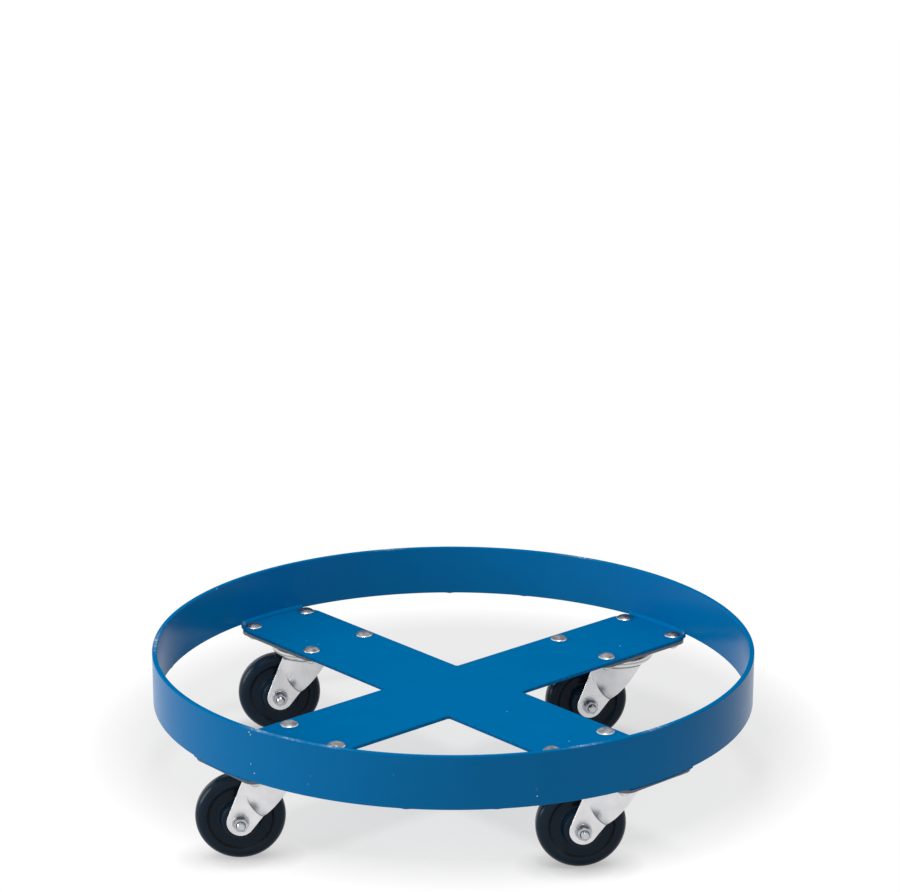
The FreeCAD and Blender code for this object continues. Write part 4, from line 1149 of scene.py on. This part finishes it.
def fine_specks():
    """Group: mask of scattered specks, the middles of those Voronoi cells that a noise lets through.

    There are about Scale cells per metre, and Size is a speck's share of its cell.
    """
    if tree := bpy.data.node_groups.get("Fine specks"):
        return tree
    tree, start, end = group_sheet("Fine specks", {"Scale": 120.0, "Size": 0.12}, ["Specks"])
    where = place(tree, "ShaderNodeTexCoord", (-900, -200))
    entries = {"Vector": (where, "Object"), "Scale": (start, "Scale")}
    cells = place(tree, "ShaderNodeTexVoronoi", (-600, 100), entries, feature="F1")
    sparse = noise(tree, (-600, -250), where, SPARSE_SCALE, 2.0, 0.5)
    near = maths(tree, (-300, 100), "LESS_THAN", (cells, "Distance"), (start, "Size"))
    some = maths(tree, (-300, -200), "GREATER_THAN", (sparse, "Fac"), SPARSE_LEVEL)
    both = maths(tree, (0, 0), "MULTIPLY", (near, 0), (some, 0))
    feed(tree, end, {"Specks": (both, 0)})
    return tree


# Materials: the enamel's coat, tones of its clouds, share of pale in its rubs and roughness added at chips,
# the plating's rubbed colour, which is also its painted highlight, and roughness taken off there, and the
# tone of a fastener's dull patches
RELIEF_DISTANCE = 0.0002
COAT_IOR, COAT_ROUGHNESS, COAT_FADE = 1.17, 0.25, 0.001
RING_DULL_TOP = 0.0005
CLOUD_DARK, CLOUD_LIGHT, RUB_PALE, CHIP_DULL = 0.93, 1.06, 0.45, 0.3
RUBBED_AND_HIGHLIGHT_METAL, RUB_POLISH = (0.9, 0.9, 0.9), -0.22
FASTENER_DULL = 0.6


def new_finish(name, values):
    """Material with a Principled shader that has the given constant values."""
    material = bpy.data.materials.new(name)
    material.use_nodes = True
    tree = material.node_tree
    shader = tree.nodes["Principled BSDF"]
    shader.location = (300, 0)
    tree.nodes["Material Output"].location = (620, 0)
    feed(tree, shader, values)
    return material, tree, shader


def dress(tree, shader, tone, gloss, grain, strength):
    """Feed a shader its colour, its roughness and the relief of the fine grain."""
    entries = {"Strength": strength, "Distance": RELIEF_DISTANCE, "Height": (grain, "Grain")}
    bump = place(tree, "ShaderNodeBump", (0, -350), entries)
    feed(tree, shader, {
        "Base Color": (tone, MIX_RESULT),
        "Roughness": (gloss, 0),
        "Normal": (bump, "Normal"),
    })


def blue_enamel(context, name, gloss_top=None):
    """Blue enamel: slight orange peel, cloudy tone, chips and pale rubs on its edges, a few specks.

    Up to the height gloss_top it keeps a coat of gloss. Without one it is rubbed dull.
    """
    if material := bpy.data.materials.get(name):
        return material
    colours = context.scene.trolley_colours
    blue, pale = np.array(colours.enamel), np.array(colours.enamel_pale)
    material, tree, shader = new_finish(name, {"Specular IOR Level": 0.0})
    if gloss_top:
        feed(tree, shader, {"Coat IOR": COAT_IOR, "Coat Roughness": COAT_ROUGHNESS})
        where = place(tree, "ShaderNodeTexCoord", (-650, -500))
        height = place(tree, "ShaderNodeSeparateXYZ", (-450, -500), {"Vector": (where, "Object")})
        coat = spread(tree, (-250, -500), (height, "Z"), 1.0, 0.0, gloss_top - COAT_FADE, gloss_top)
        feed(tree, shader, {"Coat Weight": (coat, 0)})
    grain = use_group(tree, surface_grain(), (-900, -250), {"Scale": 700.0})
    wear = use_group(tree, edge_wear(), (-900, 100), {"Scale": 230.0, "Amount": 0.62})
    specks = use_group(tree, fine_specks(), (-900, -80), {"Scale": 95.0, "Size": 0.07})
    marks = maths(tree, (-350, 60), "MAXIMUM", (wear, "Chips"), (specks, "Specks"))
    tone = mix_colours(tree, (-600, 300), CLOUD_DARK * blue, CLOUD_LIGHT * blue, (grain, "Patches"))
    faded = (1 - RUB_PALE) * blue + RUB_PALE * pale
    rubbed = mix_colours(tree, (-350, 300), tone, faded, (wear, "Rub"))
    chipped = mix_colours(tree, (-100, 300), rubbed, pale, (marks, 0))
    gloss = spread(tree, (-350, -150), (grain, "Patches"), 0.20, 0.30)
    dull = maths(tree, (-100, -60), "MULTIPLY_ADD", (marks, 0), CHIP_DULL, (gloss, 0))
    dress(tree, shader, chipped, dull, grain, 0.10)
    return material


def ring_enamel(context):
    """Enamel of the ring, which keeps its gloss up to its top edge."""
    return blue_enamel(context, "Ring enamel", float(RING_HIGH[2]) - RING_DULL_TOP)


def cross_enamel(context):
    """Enamel of the cross, rubbed dull by what stands on it."""
    return blue_enamel(context, "Cross enamel")


def plated(context, name, bright, dull, grain_scale, roughness, bump):
    """Plated steel: dull clouds in a bright ground, grain in the gloss, rubbed edges with painted highlights,
    and painted shade with some dirt.
    """
    if material := bpy.data.materials.get(name):
        return material
    shade_and_dirt = context.scene.trolley_colours.shade_and_dirt
    material, tree, shader = new_finish(name, {"Metallic": 1.0})
    grain = use_group(tree, surface_grain(), (-900, -200), {"Scale": grain_scale})
    wear = use_group(tree, edge_wear(), (-900, 150), {"Scale": 400.0, "Amount": 0.8})
    clouds = spread(tree, (-650, 150), (grain, "Patches"), 0.0, 1.0)
    cloudy = mix_colours(tree, (-350, 250), dull, bright, (clouds, 0))
    # Rubbed colour: real rubbed edges, and a painted highlight on the crown's bowl and the rivets' lower
    # heads
    rubbed = mix_colours(tree, (-100, 250), cloudy, RUBBED_AND_HIGHLIGHT_METAL, (wear, "Rub"))
    # Painted shade, with dirt round the nut bores, where the wear is below nought
    shaded_and_dirty = mix_colours(tree, (100, 250), rubbed, shade_and_dirt, (wear, "Dirt"))
    gloss = spread(tree, (-350, -100), (grain, "Grain"), *roughness)
    polish = maths(tree, (-100, -100), "MULTIPLY_ADD", (wear, "Rub"), RUB_POLISH, (gloss, 0))
    dress(tree, shader, shaded_and_dirty, polish, grain, bump)
    return material


def zinc_sheet(context):
    """Satin plated sheet of the castor plates and forks."""
    colours = context.scene.trolley_colours
    return plated(context, "Zinc sheet", colours.zinc, colours.zinc_dull, 1200.0, (0.30, 0.44), 0.06)


def rivet_zinc(context):
    """Hammered plated rivet heads, with darker patches at random."""
    colours = context.scene.trolley_colours
    return plated(context, "Rivet zinc", colours.rivet, colours.rivet_dark, 7000.0, (0.28, 0.5), 0.25)


def bright_fastener(context):
    """Bright plated nuts, bolts and washers."""
    bright = np.array(context.scene.trolley_colours.fastener)
    return plated(context, "Bright fastener", bright, FASTENER_DULL * bright, 4000.0, (0.16, 0.30), 0.05)


def greased_steel(context):
    """Turned and ground steel of the bearings under a broken film of old grease."""
    if material := bpy.data.materials.get("Greased steel"):
        return material
    colours = context.scene.trolley_colours
    material, tree, shader = new_finish("Greased steel", {})
    grain = use_group(tree, surface_grain(), (-900, -100), {"Scale": 6000.0})
    film = spread(tree, (-600, 100), (grain, "Patches"), 0.0, 1.0, 0.42, 0.62)
    tone = mix_colours(tree, (-300, 250), colours.bearing, colours.grease, (film, 0))
    bare = spread(tree, (-300, 0), (film, 0), 1.0, 0.35, 0.0, 1.0)
    gloss = spread(tree, (-300, -250), (grain, "Grain"), 0.22, 0.45)
    feed(tree, shader, {
        "Base Color": (tone, MIX_RESULT),
        "Metallic": (bare, 0),
        "Roughness": (gloss, 0),
    })
    return material


def black_wheel(context):
    """Black moulded wheel: soft gloss, faint moulding grain, a little dust, more on the tread, and dust with
    painted light on the recess wall.
    """
    if material := bpy.data.materials.get("Black wheel"):
        return material
    colours = context.scene.trolley_colours
    material, tree, shader = new_finish("Black wheel", {"Specular IOR Level": 0.12})
    grain = use_group(tree, surface_grain(), (-900, -250), {"Scale": 1500.0})
    wear = use_group(tree, edge_wear(), (-900, 100), {"Scale": 300.0, "Amount": 0.55})
    specks = use_group(tree, fine_specks(), (-900, -80), {"Scale": 400.0, "Size": 0.16})
    haze = spread(tree, (-650, 300), (grain, "Patches"), 0.0, 0.10, 0.45, 0.75)
    marks = maths(tree, (-350, 50), "MULTIPLY", (specks, "Specks"), 0.5)
    most = maths(tree, (-150, 50), "MAXIMUM", (marks, 0), (wear, "Rub"))
    dusty = mix_colours(tree, (-350, 300), colours.wheel, colours.wheel_dust_and_light, (haze, 0))
    dusted_and_lit = mix_colours(tree, (-100, 300), dusty, colours.wheel_dust_and_light, (most, 0))
    gloss = spread(tree, (-350, -150), (grain, "Patches"), 0.13, 0.24)
    dress(tree, shader, dusted_and_lit, gloss, grain, 0.12)
    return material


# Stage
KEY_PLACE, KEY_SIZE = (-4.2, -1.0, 1.2), 2.5
TOP_PLACE, TOP_SIZE = (0.0, -1.1, 3.4), 0.8
FLOOR_HALF = 20.0
FLOOR_WHITE = (0.98, 0.98, 0.98)
# Middle of a painted shadow, a grey disc on the floor, radii between which it turns white, and share and
# strength of its white there
SHADOW_DISC_MIDDLE = (0.0, 0.165, 0.0)
SHADOW_DISC_FADE = (0.335, 0.41)
FLOOR_SHARE = 0.78
SHADOW_DISC_GLOW = 0.82
# Painted contact shadow from ambient occlusion: how near a wheel darkens the floor, how far, and the openness
# at which it is darkest
CONTACT_REACH = 0.035
CONTACT_DARK = 0.55
CONTACT_OPEN = 0.4
CONTACT_SAMPLES = 4


def white_rays(tree, spot):
    """One for the camera's rays and those of reflections and glass, which see white, as (node, output)."""
    path = place(tree, "ShaderNodeLightPath", spot)
    rays = [(path, f"Is {kind} Ray") for kind in ("Camera", "Glossy", "Transmission")]
    mirrored = maths(tree, (spot[0] + 200, spot[1]), "MAXIMUM", *rays[:2])
    return maths(tree, (spot[0] + 400, spot[1]), "MAXIMUM", (mirrored, 0), rays[2]), 0


def add_floor(context):
    """Wide pale floor, one face: a painted shadow of light grey under the trolley, and white to the camera
    away from it.

    Where a wheel comes close to the floor, ambient occlusion leaves less of the white: a painted contact
    shadow at its foot.
    """
    material, tree, shader = new_finish("Pale floor", {"Roughness": 0.6, "Specular IOR Level": 0.0})
    white_ray = white_rays(tree, (-900, 550))
    where = place(tree, "ShaderNodeTexCoord", (-900, 250))
    apart = {0: (where, "Object"), 1: SHADOW_DISC_MIDDLE}
    away = place(tree, "ShaderNodeVectorMath", (-700, 250), apart, operation="DISTANCE")
    far = spread(tree, (-500, 250), (away, "Value"), FLOOR_SHARE, 1.0, *SHADOW_DISC_FADE)
    # Painted shadow: the floor's glow is dimmer inside the disc
    shadow_glow = spread(tree, (-250, 700), (away, "Value"), SHADOW_DISC_GLOW, 1.0, *SHADOW_DISC_FADE)
    # Painted contact shadow: ambient occlusion dims the glow near the wheels
    near = place(
        tree, "ShaderNodeAmbientOcclusion", (-500, 900), {"Distance": CONTACT_REACH}, samples=CONTACT_SAMPLES
    )
    foot = spread(tree, (-250, 950), (near, "AO"), CONTACT_DARK, 1.0, CONTACT_OPEN, 1.0)
    level = maths(tree, (0, 700), "MULTIPLY", (shadow_glow, 0), (foot, 0))
    seen = maths(tree, (-250, 400), "MULTIPLY", (far, 0), white_ray)
    tone = mix_colours(tree, (0, 0), context.scene.trolley_colours.floor, FLOOR_WHITE, white_ray)
    white = place(tree, "ShaderNodeEmission", (300, 250), {"Strength": (level, 0)})
    blend = {"Fac": (seen, 0), 1: (shader, "BSDF"), 2: (white, "Emission")}
    fade = place(tree, "ShaderNodeMixShader", (560, 200), blend)
    feed(tree, shader, {"Base Color": (tone, MIX_RESULT)})
    feed(tree, tree.nodes["Material Output"], {"Surface": (fade, "Shader")})
    mesh = bpy.data.meshes.new("floor")
    corners = FLOOR_HALF * np.array([(-1, -1, 0), (1, -1, 0), (1, 1, 0), (-1, 1, 0)], float)
    mesh.from_pydata(corners.tolist(), [], [(0, 1, 2, 3)])
    mesh.materials.append(material)
    floor = bpy.data.objects.new("floor", mesh)
    context.scene.collection.objects.link(floor)


def add_light(context, stage):
    """Even sky that is white to the camera and in reflections, and two soft lights."""
    world = bpy.data.worlds.new("Even sky")
    world.use_nodes = True
    context.scene.world = world
    tree = world.node_tree
    strength = spread(tree, (-250, 200), white_rays(tree, (-900, 200)), stage.sky, 1.0, 0.0, 1.0)
    feed(tree, tree.nodes["Background"], {"Color": (1.0, 1.0, 1.0, 1.0), "Strength": (strength, 0)})
    for name, spot, size, watts in (
        ("Key light", KEY_PLACE, KEY_SIZE, stage.key_power),
        ("Top light", TOP_PLACE, TOP_SIZE, stage.top_power),
    ):
        lamp = bpy.data.lights.new(name, "AREA")
        lamp.shape = "DISK"
        lamp.size = size
        lamp.energy = watts
        light = bpy.data.objects.new(name, lamp)
        light.location = spot
        light.rotation_euler = Vector(spot).to_track_quat("Z", "Y").to_euler()
        context.scene.collection.objects.link(light)


def add_camera(context, stage):
    """Camera on an orbit round the middle of the cross, then turned a little in its own axes."""
    target = Vector((0.0, 0.0, float(CROSS_HIGH[2])))
    level = math.cos(stage.camera_elevation)
    away = Vector((
        level * math.cos(stage.camera_azimuth),
        level * math.sin(stage.camera_azimuth),
        math.sin(stage.camera_elevation),
    ))
    turn = away.to_track_quat("Z", "Y")
    for axis, amount in (
        ((0, 1, 0), stage.camera_yaw),
        ((1, 0, 0), stage.camera_pitch),
        ((0, 0, -1), stage.camera_roll),
    ):
        turn = turn @ Quaternion(axis, amount)
    lens = bpy.data.cameras.new("Camera")
    lens.lens = stage.lens
    lens.sensor_fit = "HORIZONTAL"
    camera = bpy.data.objects.new("Camera", lens)
    camera.location = target + stage.camera_distance * away
    camera.rotation_euler = turn.to_euler()
    context.scene.collection.objects.link(camera)
    context.scene.camera = camera


class TROLLEY_OT_stage(bpy.types.Operator):
    """Make the floor, the soft light and the camera"""

    bl_idname = "trolley.stage"
    bl_label = "Stage"

    def execute(self, context):
        stage = context.scene.trolley_stage
        add_floor(context)
        add_light(context, stage)
        add_camera(context, stage)
        context.scene.view_settings.view_transform = "Standard"
        return {"FINISHED"}


# Add-on
OPERATORS = (
    TROLLEY_OT_ring,
    TROLLEY_OT_cross,
    TROLLEY_OT_welds,
    TROLLEY_OT_rivets,
    TROLLEY_OT_plates,
    TROLLEY_OT_forks,
    TROLLEY_OT_fasteners,
    TROLLEY_OT_wheels,
    TROLLEY_OT_bearings,
    TROLLEY_OT_stage,
)
SETTINGS = {
    "trolley_deck": TrolleyDeckSizes,
    "trolley_castor": CastorSizes,
    "trolley_colours": TrolleyColours,
    "trolley_stage": TrolleyStage,
}


class TROLLEY_PT_sidebar(bpy.types.Panel):
    """Settings and pieces of the drum trolley"""

    bl_label = "Drum trolley"
    bl_idname = "TROLLEY_PT_sidebar"
    bl_space_type = "VIEW_3D"
    bl_region_type = "UI"
    bl_category = "Drum trolley"

    def draw(self, context):
        for name in SETTINGS:
            group = getattr(context.scene, name)
            box = self.layout.box()
            for setting in group.__annotations__:
                box.prop(group, setting)
        for operator in OPERATORS:
            self.layout.operator(operator.bl_idname)


def register():
    for group in SETTINGS.values():
        bpy.utils.register_class(group)
    for name, group in SETTINGS.items():
        setattr(bpy.types.Scene, name, bpy.props.PointerProperty(type=group))
    for operator in OPERATORS:
        bpy.utils.register_class(operator)
    bpy.utils.register_class(TROLLEY_PT_sidebar)


def unregister():
    bpy.utils.unregister_class(TROLLEY_PT_sidebar)
    for operator in reversed(OPERATORS):
        bpy.utils.unregister_class(operator)
    for name in SETTINGS:
        delattr(bpy.types.Scene, name)
    for group in reversed(SETTINGS.values()):
        bpy.utils.unregister_class(group)


def main():
    """Register the add-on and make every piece."""
    register()
    bpy.ops.trolley.ring()
    bpy.ops.trolley.cross()
    bpy.ops.trolley.welds()
    bpy.ops.trolley.rivets()
    bpy.ops.trolley.plates()
    bpy.ops.trolley.forks()
    bpy.ops.trolley.fasteners()
    bpy.ops.trolley.wheels()
    bpy.ops.trolley.bearings()
    bpy.ops.trolley.stage()


if __name__ == "__main__":
    main()
